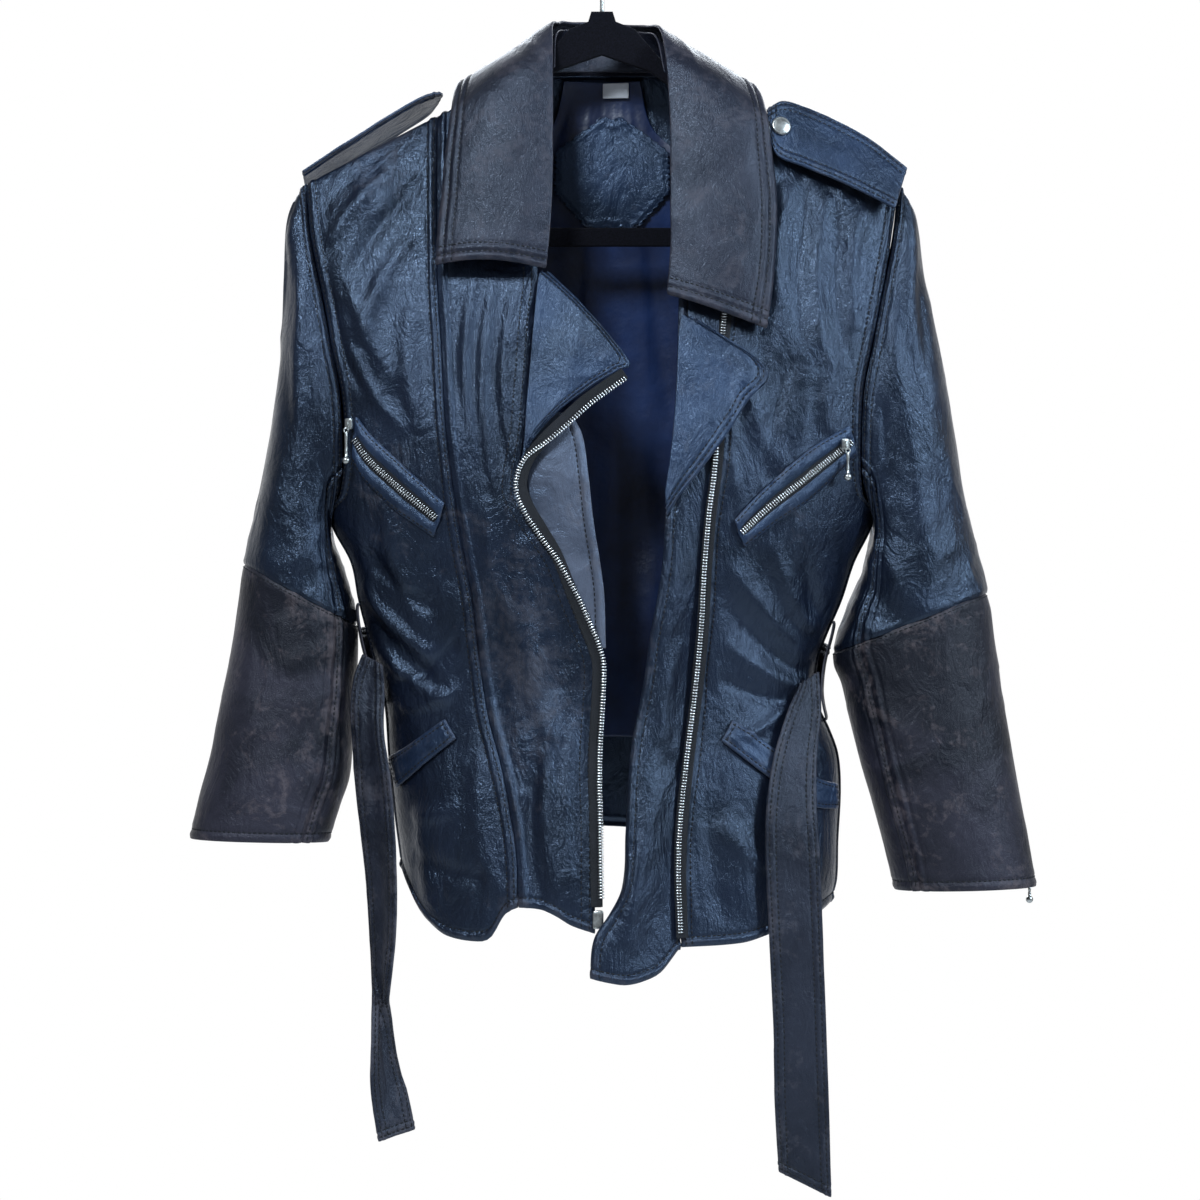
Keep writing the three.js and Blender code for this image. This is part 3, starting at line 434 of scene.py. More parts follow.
# The rows of stitches, in mm in from an edge, and the profiles that they draw down.
SEAM_ROWS, STRAP_ROWS, LAPEL_ROWS, COLLAR_ROWS = (2.4, 8.2), (2.6, 7.6), (4.0, 8.6), (6.4, 13.2)
HEM_ROW, CUFF_ROW, WELT_ROW, JOIN_ROW = 7.2, 7.4, 2.4, 2.4
turned_edge = edge_profile((3.6, 2.6, 1.2), (HEM_ROW, 1.2, -0.9), (0, 1.2, -0.4))
lapel_edge = edge_profile((1.8, 1.5, 0.9), (4, 0.9, -0.7), (6.2, 1.5, 0.8), (8.6, 1.0, -0.8),
                          (0, 1.0, -0.4))
collar_edge = edge_profile((3.0, 2.2, 0.9), (6.4, 1.0, -0.75), (9.8, 2.2, 0.7),
                           (13.2, 1.1, -0.75), (0, 1.0, -0.4))
strap_edge = edge_profile((1.2, 1.0, 0.3), (2.6, 0.7, -0.5), (5.1, 1.7, 0.7), (7.6, 0.9, -0.6),
                          (0, 0.8, -0.3))
sewn_seam = edge_profile((0, 1.3, -1.3), (5.2, 2.2, 1.1), (2.2, 0.8, -0.4), (8.6, 1.2, -0.8))
plain_seam = edge_profile((0, 1.8, -1.0))
cuff_edge = edge_profile((3.2, 2.2, 0.6), (CUFF_ROW, 1.0, -0.5), (11, 3, 0.25), (0, 1.2, -0.3))
welt_edge = edge_profile((WELT_ROW, 0.7, -0.35), (5.5, 2.2, 0.5), (0, 0.9, -0.3))
LONG_EDGES = ("left", "right")
ALL_EDGES = ("left", "right", "top", "bottom")


# ---- materials -----------------------------------------------------------------------------------
class Nodes:
    """A material's node tree, with a short way to add and link nodes."""

    def __init__(self, name):
        self.material = bpy.data.materials.new(name)
        self.material.use_nodes = True
        self.tree = self.material.node_tree
        self.tree.nodes.clear()
        self.out = self.tree.nodes.new("ShaderNodeOutputMaterial")
        self.shader = self.tree.nodes.new("ShaderNodeBsdfPrincipled")
        self.link(self.shader, "BSDF", self.out, "Surface")
        self.coords = self.tree.nodes.new("ShaderNodeTexCoord")

    def link(self, a, out, b, into):
        self.tree.links.new(a.outputs[out], b.inputs[into])

    def add(self, kind, **values):
        node = self.tree.nodes.new("ShaderNode" + kind)
        for key, value in values.items():
            if hasattr(node, key):
                setattr(node, key, value)
            else:
                node.inputs[key.replace("_", " ")].default_value = value
        return node

    def scaled(self, scale):
        """Object coordinates, scaled differently along each axis."""
        node = self.add("Mapping")
        node.inputs["Scale"].default_value = scale
        self.link(self.coords, "Object", node, "Vector")
        return node

    def noise(self, scale, detail=3.0, rough=0.55, warp=0.0, stretch=(1, 1, 1)):
        node = self.add("TexNoise", Scale=scale, Detail=detail, Roughness=rough, Distortion=warp)
        self.link(self.scaled(stretch), "Vector", node, "Vector")
        return node

    def ramp(self, source, out, stops):
        node = self.add("ValToRGB")
        elements = node.color_ramp.elements
        while len(elements) < len(stops):
            elements.new(0.5)
        for element, (place, value) in zip(elements, stops):
            element.position = place
            colour = value if isinstance(value, tuple) else (value, value, value)
            element.color = (*colour, 1)
        self.link(source, out, node, "Fac")
        return node

    def remap(self, source, before=(0, 1), after=(0, 1)):
        """A value taken from one range to another, held at its ends."""
        node = self.add("MapRange")
        for name, value in zip(("From Min", "From Max", "To Min", "To Max"), before + after):
            node.inputs[name].default_value = value
        self.tree.links.new(source, node.inputs["Value"])
        return node

    def blend(self, ramp, colour, mask):
        """Mixes a ramp's colour with another colour by a remapped mask."""
        node = self.add("Mix", data_type="RGBA")
        ends = {socket.name: socket for socket in node.inputs if socket.type == "RGBA"}
        self.tree.links.new(mask.outputs["Result"], node.inputs["Factor"])
        self.tree.links.new(ramp.outputs["Color"], ends["A"])
        ends["B"].default_value = (*colour, 1)
        return [socket for socket in node.outputs if socket.type == "RGBA"][0]

    def math(self, operation, a, b, clamp=False):
        node = self.add("Math", operation=operation, use_clamp=clamp)
        for k, value in enumerate((a, b)):
            if isinstance(value, (int, float)):
                node.inputs[k].default_value = value
            else:
                self.tree.links.new(value, node.inputs[k])
        return node.outputs[0]

    def swing(self, noise, strength):
        """A noise's swing about its middle value, times a strength."""
        return self.math("MULTIPLY", self.math("SUBTRACT", noise.outputs["Fac"], 0.5), strength)

    def bump(self, heights):
        """Chains bumps from (socket, strength, distance in m), coarse first."""
        last = None
        for socket, strength, far in heights:
            node = self.add("Bump", Strength=strength, Distance=far)
            self.tree.links.new(socket, node.inputs["Height"])
            if last:
                self.link(last, "Normal", node, "Normal")
            last = node
        self.link(last, "Normal", self.shader, "Normal")


def leather_material(name, dark, light, worn, rub=0.0, rough=(0.28, 0.60), crush=1.0,
                     shine=(0.66, (0.54, 0.72, 1))):
    """Drum-dyed leather: grain, fine wrinkles, cloudy dye, and rubbed places where wear is set.
    Rub is wear all over, rough the roughness of sound and rubbed leather, crush the strength of
    the wrinkles, and shine the level and tint of the highlights."""
    m = Nodes(name)
    dye = m.ramp(m.noise(11, 5, 0.6, 0.6), "Fac", [(0.40, dark), (0.60, light)])
    wear = m.add("Attribute", attribute_name="wear")
    blotches = m.swing(m.noise(34, 6, 0.68, 0.8), 1.5)
    specks = m.swing(m.noise(210, 3, 0.6), 0.7)
    rubbed = m.math("ADD", m.math("ADD", wear.outputs["Fac"], rub), blotches)
    mask = m.remap(m.math("ADD", rubbed, specks), before=(0.30, 0.95))
    m.tree.links.new(m.blend(dye, worn, mask), m.shader.inputs["Base Color"])
    dullness = m.math("ADD", mask.outputs["Result"], m.swing(m.noise(26, 4, 0.6), 0.55),
                      clamp=True)
    m.link(m.remap(dullness, after=rough), "Result", m.shader, "Roughness")
    m.shader.inputs["Specular IOR Level"].default_value = shine[0]
    m.shader.inputs["Specular Tint"].default_value = (*shine[1], 1)
    soft = m.noise(38, 4, 0.6, 0.9, (1, 1, 0.55))
    fine = m.noise(150, 4, 0.65, 0.7, (1, 1, 0.7))
    grain = m.add("TexVoronoi", Scale=820.0, Randomness=1.0, feature="DISTANCE_TO_EDGE")
    m.link(m.scaled((1, 1, 1)), "Vector", grain, "Vector")
    pores = m.ramp(grain, "Distance", [(0.0, 0.0), (0.22, 1.0)])
    m.bump([(soft.outputs["Fac"], 0.5 * crush, 0.006), (fine.outputs["Fac"], 0.40 * crush, 0.0016),
            (pores.outputs["Color"], 0.30, 0.0004)])
    return m.material


def cloth_material(name, dark, light, scale, rough=0.85, sheen=0.0, bump=0.4):
    """A plain weave or pile of one colour."""
    m = Nodes(name)
    tone = m.ramp(m.noise(22, 4), "Fac", [(0.35, dark), (0.65, light)])
    m.link(tone, "Color", m.shader, "Base Color")
    m.shader.inputs["Roughness"].default_value = rough
    m.shader.inputs["Sheen Weight"].default_value = sheen
    weave = m.add("TexWave", Scale=scale, Distortion=1.5, Detail=2.0, bands_direction="DIAGONAL")
    m.link(m.scaled((1, 1, 1)), "Vector", weave, "Vector")
    m.bump([(m.noise(60, 3).outputs["Fac"], 0.3, 0.003), (weave.outputs["Fac"], bump, 0.0003)])
    return m.material


def metal_material(name, colour, rough=0.28):
    """Bare metal, dulled and scuffed in small spots."""
    m = Nodes(name)
    dull = m.ramp(m.noise(300, 4), "Fac", [(0.3, tuple(c * 0.6 for c in colour)), (0.7, colour)])
    m.link(dull, "Color", m.shader, "Base Color")
    m.shader.inputs["Metallic"].default_value = 1.0
    scuff = m.noise(600, 3)
    gloss = m.remap(scuff.outputs["Fac"], after=(rough * 0.7, rough * 1.6))
    m.link(gloss, "Result", m.shader, "Roughness")
    m.bump([(scuff.outputs["Fac"], 0.12, 0.0002)])
    return m.material


def flock_material():
    """The short dark pile of a flocked hanger."""
    m = Nodes("flock")
    tone = m.ramp(m.noise(900, 2), "Fac", [(0.3, (0.001, 0.001, 0.002)), (0.7, (0.005, 0.005, 0.009))])
    m.link(tone, "Color", m.shader, "Base Color")
    m.shader.inputs["Roughness"].default_value = 0.95
    m.shader.inputs["Specular IOR Level"].default_value = 0.12
    m.shader.inputs["Sheen Weight"].default_value = 0.05
    m.bump([(m.noise(1500, 2).outputs["Fac"], 0.6, 0.0004)])
    return m.material


NAVY_DARK, NAVY_LIGHT = (0.0022, 0.0036, 0.0085), (0.0060, 0.0092, 0.0200)
RUBBED = (0.046, 0.039, 0.043)
DULL_SHINE = (0.42, (0.72, 0.82, 1))
LEATHER_MAT = leather_material("leather", NAVY_DARK, NAVY_LIGHT, RUBBED)
# A lighter, bluer copy of the navy leather: its colour holds a painted highlight, with some real
# rubbed wear. It serves the lapels, straps, pocket frames, welts and label patch.
PAINTED_HIGHLIGHT_LAPEL_MAT = leather_material("lapel leather, painted highlight", (0.005, 0.010, 0.023), (0.015, 0.027, 0.058),
                             (0.055, 0.054, 0.068), rub=0.14, rough=(0.32, 0.58))
# A far lighter copy of the navy leather for the right facing: its base colour is a painted highlight,
# and its rub adds real worn wear on top.
PAINTED_HIGHLIGHT_FACING_MAT = leather_material("facing leather, painted highlight", (0.034, 0.040, 0.058), (0.095, 0.108, 0.145),
                              (0.110, 0.105, 0.120), rub=0.2, rough=(0.34, 0.6))
COLLAR_MAT = leather_material("collar leather", (0.005, 0.006, 0.012), (0.017, 0.018, 0.028),
                              (0.066, 0.057, 0.066), rub=0.28, rough=(0.36, 0.62), crush=0.6,
                              shine=DULL_SHINE)
FOREARM_MAT = leather_material("forearm leather", (0.004, 0.005, 0.009), (0.024, 0.023, 0.034),
                               (0.130, 0.104, 0.108), rub=0.22, rough=(0.42, 0.7),
                               shine=(0.30, (0.92, 0.92, 1)))
BELT_MAT = leather_material("belt leather", (0.005, 0.006, 0.011), (0.016, 0.018, 0.028),
                            (0.075, 0.068, 0.078), rub=0.22, rough=(0.38, 0.62),
                            shine=DULL_SHINE)
LINING_MAT = cloth_material("satin lining", (0.003, 0.010, 0.042), (0.009, 0.025, 0.090), 1400,
                            rough=0.36, sheen=0.0, bump=0.12)
TAPE_MAT = cloth_material("zip tape", (0.003, 0.004, 0.006), (0.009, 0.010, 0.014), 900, bump=0.7)
WHITE_MAT = cloth_material("white woven tab", (0.62, 0.64, 0.68), (0.8, 0.82, 0.85), 1500)
THREAD_MAT = cloth_material("thread", (0.0015, 0.002, 0.0035), (0.004, 0.005, 0.009), 2500, rough=0.8)
STEEL_MAT = metal_material("dulled nickel", (0.62, 0.63, 0.60))
TEETH_MAT = metal_material("zip teeth nickel", (0.78, 0.80, 0.80), 0.22)
FLOCK_MAT = flock_material()


# ---- body panels ---------------------------------------------------------------------------------
SEAM_GAP = 0.3
TURNED_WEAR, SEAM_WEAR = 0.35, 0.12
# The overlap stands forward of the body: how far, from which height, and over what drop.
OVERLAP_SWELL, SWELL_FROM, SWELL_OVER = 15.0, -430, 120
CHEST_FOLDS_END, CHEST_FOLDS_FADE = -420, 60  # where the chest's folds stop on the overlap
OVERLAP_CREASES = [((60, -560, 48, -655), 7, 2.4), ((50, -665, 22, -800), 7, 2.6),
                   ((44, -640, 66, -668), 5, -2.2), ((30, -700, 8, -790), 6, -1.6)]


def seam_edge(rows, top, bottom, shift=0.0):
    """A panel's edge: its end heights, and the angle round the body at a height."""
    return top, bottom, lambda z: angle_at(at(rows, z) + shift, z)


def side_edge(sign, top, bottom):
    """The armhole's edge and, below it, the side seam, with a rounded corner at the underarm."""
    seam, corner = 89.9, 22

    def angle(z):
        hole = np.clip(angle_at(sign * (at(ARMHOLE, z) - 0.5), z), -seam, seam)
        above = np.clip((z - UNDERARM_Z) / corner, 0, 1)
        return mix(sign * seam, hole, above * above * (3 - 2 * above))
    return top, bottom, angle


def panel(side, left, right, top, bottom):
    """The plain form of a body panel between two edges and two end outlines."""
    def place(U, V):
        def angle(w):
            return mix(left[2](mix(left[0], left[1], w)), right[2](mix(right[0], right[1], w)), U)

        def chord(w):
            return mix(mix(left[0], left[1], w), mix(right[0], right[1], w), U)

        def end(outline, w):
            x = width_at(angle(w), chord(w)) * np.sin(np.radians(angle(w)))
            return outline(x) - chord(w)
        shift = (1 - V) * end(top, np.zeros_like(V)) + V * end(bottom, np.ones_like(V))
        return ring(side, angle(V), chord(V) + shift)
    return place


def shoulder_line(x):
    return shoulder_z(x) - SEAM_GAP


SHEETS = {}  # the sheets made, by name, for the stitches and snaps set on them


def sewn_piece(name, sheet, height, rubbed, profiles, edge_wear, thickness, material, slot):
    """Makes a piece of a sheet with its relief, its wear, and the profile of each edge. The wear
    along each edge is a bump too: (place, half-width, strength)."""
    for edge, profile in profiles.items():
        height = height + profile(sheet.distance[edge])
        rubbed = rubbed + bump_at(sheet.distance[edge], *edge_wear[edge])
    sheet.push(height)
    piece = wall_mesh(name, sheet.points, sheet.normals, thickness, material, rubbed)
    settle(piece, slot, name)
    SHEETS[name] = sheet


def body_panel(name, side, edges, ends, size, folds, profiles, wear=(), coarse=3.0, extra=None):
    """Makes one panel of the body: its form, its creases, and the profile of each edge."""
    place = panel(side, *edges, *ends)
    form = place if extra is None else lambda U, V: extra(place(U, V), U)
    middle = form(np.array([[0.5]]), np.array([[0.5]]))[0, 0]
    sheet = Sheet(form, *size, away=(0, 0, middle[2]), coarse=coarse)
    x, z = sheet.points[..., 0], sheet.points[..., 2]
    edge_wear = {edge: (3, 4, TURNED_WEAR if profile is turned_edge else SEAM_WEAR)
                 for edge, profile in profiles.items()}
    sewn_piece(name, sheet, folds(x, z), patches(x, z, wear), profiles, edge_wear, LEATHER,
               LEATHER_MAT, "leather")


# Rubbed places, as strength, centre x and z, and radii.
FRONT_WEAR = [(0.42, -165, -440, 36, 55), (0.3, -85, -520, 40, 80), (0.4, -175, -170, 50, 60),
              (0.35, -60, -620, 30, 120), (0.30, 135, -470, 46, 40), (0.25, -30, -600, 30, 60),
              (0.18, -120, -760, 60, 30), (0.2, 150, -200, 40, 30)]
BACK_WEAR = [(0.3, 0, -220, 120, 60), (0.25, 0, -660, 130, 40)]
SHOULDER_END = -198.4
SIDES = {"r": side_edge(-1, SHOULDER_END, -742), "l": side_edge(1, SHOULDER_END, -768)}


def back_neck(x):
    """The back's top edge: a shallow dip at the neck, then the shoulder line."""
    return np.where(np.abs(x) > NECK_X, shoulder_line(x), -107 - 5.3 * (x / NECK_X) ** 2)


def seams(left, right):
    return {"left": left, "right": right, "top": plain_seam, "bottom": turned_edge}


body_panel(
    "side_front_r", FRONT, (SIDES["r"], seam_edge(PRINCESS, -144, -767, -SEAM_GAP)),
    (shoulder_line, lambda x: at(HEM_SIDE_R, x)), (640, 125), front_folds,
    seams(sewn_seam, sewn_seam), FRONT_WEAR)
body_panel(
    "centre_front_r", FRONT,
    (seam_edge(PRINCESS, -144, -767, SEAM_GAP), seam_edge(EDGE_R, -112.4, -786)),
    (shoulder_line, lambda x: at(HEM_CENTRE_R, x)), (680, 75), front_folds,
    seams(sewn_seam, plain_seam), FRONT_WEAR)
body_panel(
    "side_front_l", FRONT, (seam_edge(ZIP_L, -128.4, -797, 0.5), SIDES["l"]),
    (shoulder_line, lambda x: at(HEM_SIDE_L, x)), (670, 140), front_folds,
    seams(turned_edge, sewn_seam), FRONT_WEAR)
body_panel(
    "back", BACK, (SIDES["r"], SIDES["l"]), (back_neck, lambda x: at(HEM_BACK, x)), (640, 520),
    back_folds, seams(sewn_seam, sewn_seam), BACK_WEAR, coarse=5.0)


def stand_forward(points, U):
    """The overlap swells forward between its free edge and the zip."""
    below = np.clip((SWELL_FROM - points[..., 2]) / SWELL_OVER, 0, 1)
    swell = np.sin(0.62 * np.pi * np.clip(1 - U, 0, 1)) ** 1.6
    points[..., 1] -= below * OVERLAP_SWELL * swell
    return points


def overlap_folds(x, z):
    """The overlap hangs clear of the body, with a long ridge, a dent and a few soft folds."""
    chest = np.clip((z - CHEST_FOLDS_END) / CHEST_FOLDS_FADE, 0, 1)
    soft = noise(x / 50, z / 80, 71) + 0.7 * crumple(x, z, 73, 30, turn=80, stretch=3)
    return (0.6 * front_folds(x, z) * chest + soft
            + sum(crease(x, z, *one) for one in OVERLAP_CREASES))


body_panel(
    "overlap_l", FRONT,
    (seam_edge(EDGE_L, -116, -819), seam_edge(ZIP_L, -127.5, -799, -SEAM_GAP)),
    (lambda x: mix(-114, -126, np.clip((x - 71) / 29, 0, 1)), lambda x: at(HEM_OVERLAP, x)),
    (700, 50), overlap_folds,
    {"left": turned_edge, "right": plain_seam, "bottom": turned_edge}, coarse=2.6,
    extra=stand_forward)


# ---- strips --------------------------------------------------------------------------------------
STRIP_WEAR = 0.15


def chain(points, v):
    """A smooth curve through points, at v from 0 to 1, evenly from point to point. The chain is
    one for the whole grid, or has points of its own for each place of it."""
    points = np.array(points, float)
    v = np.asarray(v, float)
    last = len(points) - 1
    t = np.clip(v, 0, 1) * last
    i = np.clip(np.floor(t).astype(int), 0, last - 1)
    f = (t - i)[..., None]
    ends = np.concatenate([[2 * points[0] - points[1]], points, [2 * points[-1] - points[-2]]])
    if points.ndim == 2:
        p0, p1, p2, p3 = (ends[i + k] for k in range(4))
    else:
        row, col = np.indices(i.shape)
        p0, p1, p2, p3 = (ends[i + k, row, col] for k in range(4))
    bend = 2 * p0 - 5 * p1 + 4 * p2 - p3 + f * (3 * (p1 - p2) + p3 - p0)
    return p1 + 0.5 * f * (p2 - p0 + f * bend)


def strip(rows):
    """place(U, V) of a strip whose rows are pairs of points."""
    left, right = [row[0] for row in rows], [row[1] for row in rows]
    return lambda U, V: mix(chain(left, V), chain(right, V), U[..., None])


def front_strip(rows, lift_a, lift_b=None):
    """A strip whose rows, as (x, z, x, z), lie on the creased front at a lift."""
    lift_b = lift_a if lift_b is None else lift_b
    flat = strip([((xa, za, lift_a), (xb, zb, lift_b)) for xa, za, xb, zb in rows])

    def place(U, V):
        spot = flat(U, V)
        return front(spot[..., 0], spot[..., 1], spot[..., 2])[0]
    return place


def front_band(line, width):
    """A band of a width along a line of (x, z, lift) on the creased front."""
    def place(U, V):
        spot = chain(line, V)
        ahead = chain(line, np.clip(V + 0.002, 0, 1)) - chain(line, np.clip(V - 0.002, 0, 1))
        across = unit(np.stack([ahead[..., 1], -ahead[..., 0]], -1)) * ((U - 0.5) * width)[..., None]
        return front(spot[..., 0] + across[..., 0], spot[..., 1] + across[..., 1], spot[..., 2])[0]
    return place


def strip_piece(name, place, size, away, thickness, material, slot, profiles, relief=None,
                wear=0.0, coarse=2.5, edges=(9, 9), lift=0.0):
    """A strip of cloth with its edge profiles; relief(sheet) adds height of its own. Its size is
    (long, wide), its outer face turns from the point away, and coarse is its grid's step."""
    sheet = Sheet(place, *size, away=away, coarse=coarse, edges=edges)
    flat = np.ones(sheet.U.shape)
    height = flat * lift + (0 if relief is None else relief(sheet))
    sewn_piece(name, sheet, height, flat * wear, profiles,
               {edge: (2, 4, STRIP_WEAR) for edge in profiles}, thickness, material, slot)


def soft_relief(seed, height=0.6, cell=26.0):
    """Gentle unevenness over a strip."""
    def relief(sheet):
        x, y, z = (sheet.points[..., k] for k in range(3))
        return height * (noise((x + y) / cell, z / cell, seed)
                         + 0.5 * crumple(x + y, z, seed + 1, cell * 0.6, turn=60, stretch=2))
    return relief


LAPEL_R = [(-48, -277, -40, -277), (-50, -290, -16, -301), (-52, -312, 20, -344),
           (-54, -335, 13, -353), (-56, -360, -3, -362), (-58, -385, -24, -377),
           (-59, -405, -44, -395), (-61, -425, -58, -411)]
LAPEL_L = [(62, -309, 74, -314), (60, -322, 127, -351), (59, -340, 112, -376),
           (58, -362, 94, -404), (56, -390, 75, -430), (53, -420, 59, -450), (49, -446, 50, -464)]
FACING_R = [(-50, -384, -24, -386), (-55, -404, -15, -404), (-58, -430, -11, -432),
            (-54, -455, -8, -460), (-41, -482, -5, -482), (-30, -500, -2, -500),
            (-20, -522, 1, -524), (-10, -548, 2, -550), (-3, -566, 2.5, -567)]
IN_FRONT = (0, 0, -400)  # a place inside the jacket: the front's strips face away from it
strip_piece(
    "lapel_r", front_strip(LAPEL_R, 4.5 + LEATHER), (160, 75), IN_FRONT, LEATHER, PAINTED_HIGHLIGHT_LAPEL_MAT,
    "worn_leather", {"right": lapel_edge}, relief=soft_relief(81, 1.2, 34), coarse=1.6)
strip_piece(
    "lapel_l", front_strip(LAPEL_L, 3.4 + LEATHER, 6 + LEATHER), (165, 65), IN_FRONT, LEATHER,
    PAINTED_HIGHLIGHT_LAPEL_MAT, "worn_leather", {"right": lapel_edge}, relief=soft_relief(83, 1.1, 34), wear=0.1,
    coarse=1.6)
strip_piece(
    "facing_r", front_strip(FACING_R, LEATHER), (190, 45), IN_FRONT, LEATHER, PAINTED_HIGHLIGHT_FACING_MAT,
    "leather", {"right": turned_edge}, relief=soft_relief(85, 1.6, 30), coarse=1.8)


# ---- collar --------------------------------------------------------------------------------------
# Rows across the collar, from its right end to its left: the roll, the bulge and the outer edge.
BULGE_AT = 0.3
COLLAR = [
    ((-45, -60, -271), (-72, -64, -266), (-129.5, -56, -268)),
    ((-42, -56, -240), (-70, -60, -238), (-128, -50, -243)),
    ((-40, -46, -200), (-68, -51, -199), (-125, -42, -208)),
    ((-40, -36, -156), (-66, -41, -158), (-122, -31, -174)),
    ((-40, -21, -104), (-64, -26, -114), (-118, -20, -145)),
    ((-39, 2, -76), (-60, 2, -88), (-112, 6, -121)),
    ((-33, 26, -69), (-50, 34, -80), (-96, 44, -126)),
    ((-20, 44, -67), (-30, 58, -78), (-60, 74, -146)),
    ((0, 52, -66), (0, 66, -79), (0, 82, -155)),
    ((22, 44, -68), (34, 58, -79), (66, 73, -147)),
    ((36, 26, -71), (56, 34, -82), (100, 44, -128)),
    ((46, 2, -78), (68, 2, -90), (120, 6, -123)),
    ((52, -21, -108), (78, -26, -118), (128, -20, -146)),
    ((55, -37, -160), (82, -42, -163), (133, -32, -178)),
    ((55, -46, -205), (82, -51, -207), (136, -42, -215)),
    ((55, -55, -245), (82, -60, -250), (134, -51, -268)),
    ((52, -62, -292), (78, -67, -300), (127, -59, -318)),
]
STAND = [
    ((-38, -19, -108), (-66, -8, -120)), ((-37, 1, -80), (-66, 3, -109)),
    ((-31, 24, -73), (-54, 24, -106)), ((-19, 40, -71.5), (-28, 38, -105)),
    ((0, 48, -70.5), (0, 42.5, -104.5)), ((21, 40, -72.5), (30, 38, -105)),
    ((34, 24, -75), (56, 24, -106)), ((44, 1, -82), (67, 3, -109)),
    ((50, -19, -112), (67, -8, -121)),
]


def collar_place(U, V):
    """A parabola through the roll, the bulge part of the way down, and the outer edge."""
    roll, bulge, edge = (chain([row[k] for row in COLLAR], V) for k in range(3))
    weight = (U * (1 - U) / (BULGE_AT * (1 - BULGE_AT)))[..., None]
    u = U[..., None]
    return (roll * (1 - u - weight * (1 - BULGE_AT)) + bulge * weight
            + edge * (u - weight * BULGE_AT))


strip_piece("collar", collar_place, (570, 80), (0, 0, -79), DOUBLE, COLLAR_MAT, "worn_leather",
            {"right": collar_edge, "top": collar_edge, "bottom": collar_edge},
            relief=soft_relief(91, 1.5, 38), coarse=2.2, edges=(16, 16), lift=DOUBLE)
strip_piece("collar_stand", strip(STAND), (230, 35), (0, 0, -95), LEATHER, COLLAR_MAT,
            "worn_leather", {"right": plain_seam}, relief=soft_relief(93, 0.4))


# ---- epaulettes and snaps ------------------------------------------------------------------------
EPAULETTE_L = [((131, -14, -141), (129, -19, -158)), ((146, -5, -135), (138, -24, -179)),
               ((177, -3, -146), (160, -27, -189)), ((210, -2, -163), (196, -27, -204)),
               ((241, -2, -187), (230, -25, -221))]
EPAULETTE_R = [((-128, -8, -129), (-127, 12, -128)), ((-140, -9, -132), (-138, 34, -140)),
               ((-165, -9, -145), (-164, 38, -156)), ((-200, -9, -167), (-199, 36, -178)),
               ((-236, -9, -191), (-236, 32, -203))]


def axes_round(axis, near):
    """An axis and two directions square to it, the first of them square to near as well."""
    axis = np.array(axis, float) / np.linalg.norm(axis)
    side = unit(np.cross(axis, near))
    return axis, side, np.cross(axis, side)


def lathe(name, profile, origin, axis, material, turns=40):
    """A turned piece from (radius, height) pairs along an axis."""
    axis, side, up = axes_round(axis, (0.31, 0.11, 0.94))
    angles = np.linspace(0, 2 * np.pi, turns, endpoint=False)
    rings = [np.asarray(origin, float) + axis * h
             + r * (np.cos(angles)[:, None] * side + np.sin(angles)[:, None] * up)
             for r, h in profile]
    return make_mesh(name, np.concatenate(rings), grid_faces(len(profile), turns, tube=True),
                     material)


AXIS = 0.02  # a turned piece's radius at its axis
SNAP = [(AXIS, -1.2), (7.6, -1.2), (7.9, -0.6), (7.9, 0.5), (7.6, 1.2), (7.0, 1.6), (6.6, 1.75),
        (6.3, 1.65), (6.0, 1.7), (5.0, 2.05), (3.5, 2.3), (1.8, 2.4), (AXIS, 2.42)]
SNAP_AT, SNAP_LIFT = 0.22, 1.0  # its place along the strap, and its height over it
for side, rows, sign in (("l", EPAULETTE_L, 1), ("r", EPAULETTE_R, -1)):
    below = (sign * 180, 8, -230)
    strip_piece(f"epaulette_{side}", strip(rows), (125, 46), below, DOUBLE, PAINTED_HIGHLIGHT_LAPEL_MAT, "leather",
                {"left": strap_edge, "right": strap_edge, "top": strap_edge},
                relief=soft_relief(95, 0.5), coarse=2.0, lift=DOUBLE)
    sheet = SHEETS[f"epaulette_{side}"]
    j, i = np.searchsorted(sheet.v, SNAP_AT), np.searchsorted(sheet.u, 0.5)
    foot, out = sheet.points[j, i], sheet.normals[j, i]
    snap = lathe(f"snap_{side}", SNAP, foot + out * SNAP_LIFT, out, STEEL_MAT)
    settle(snap, "metal", f"snap_{side}")


# ---- sleeves -------------------------------------------------------------------------------------
# Rings down each sleeve: the outer and inner points (x, z), half the depth, and the middle's y.
SLEEVE = {
    "r": (-1, [(-237, -199, -214.6, -470, 30, 0), (-249, -228, -217, -476, 37, 2),
               (-252, -275, -216, -483, 41, 4), (-257, -346, -213, -492, 44, 5),
               (-270, -430, -206, -508, 46, 5), (-285, -501, -195, -549, 47, 4),
               (-293, -560, -195, -592, 46, 2), (-302, -606, -197, -632, 45, -2),
               (-311, -655, -200, -668, 44, -6), (-320, -688, -208, -692, 43, -8),
               (-327, -718, -217.5, -721, 42, -9)]),
    "l": (1, [(237, -199, 214.6, -470, 30, 0), (250, -228, 217, -476, 37, 2),
              (257, -275, 215, -486, 41, 4), (271, -346, 211, -498, 44, 5),
              (288, -444, 201, -524, 46, 5), (306, -524, 184, -571, 47, 4),
              (314, -575, 191, -598, 46, 2), (322, -630, 200, -636, 45, -2),
              (330, -680, 213, -684, 44, -6), (337, -716, 223, -722, 43, -8),
              (344, -756, 231.5, -759, 42, -9)]),
}
ELBOW, CUFF = 5, 10  # the rings at which the forearm starts and ends
FROM_ARMHOLE = [1, 0.6, 0.3, 0.1]  # how much of the armhole's own form the first rings keep
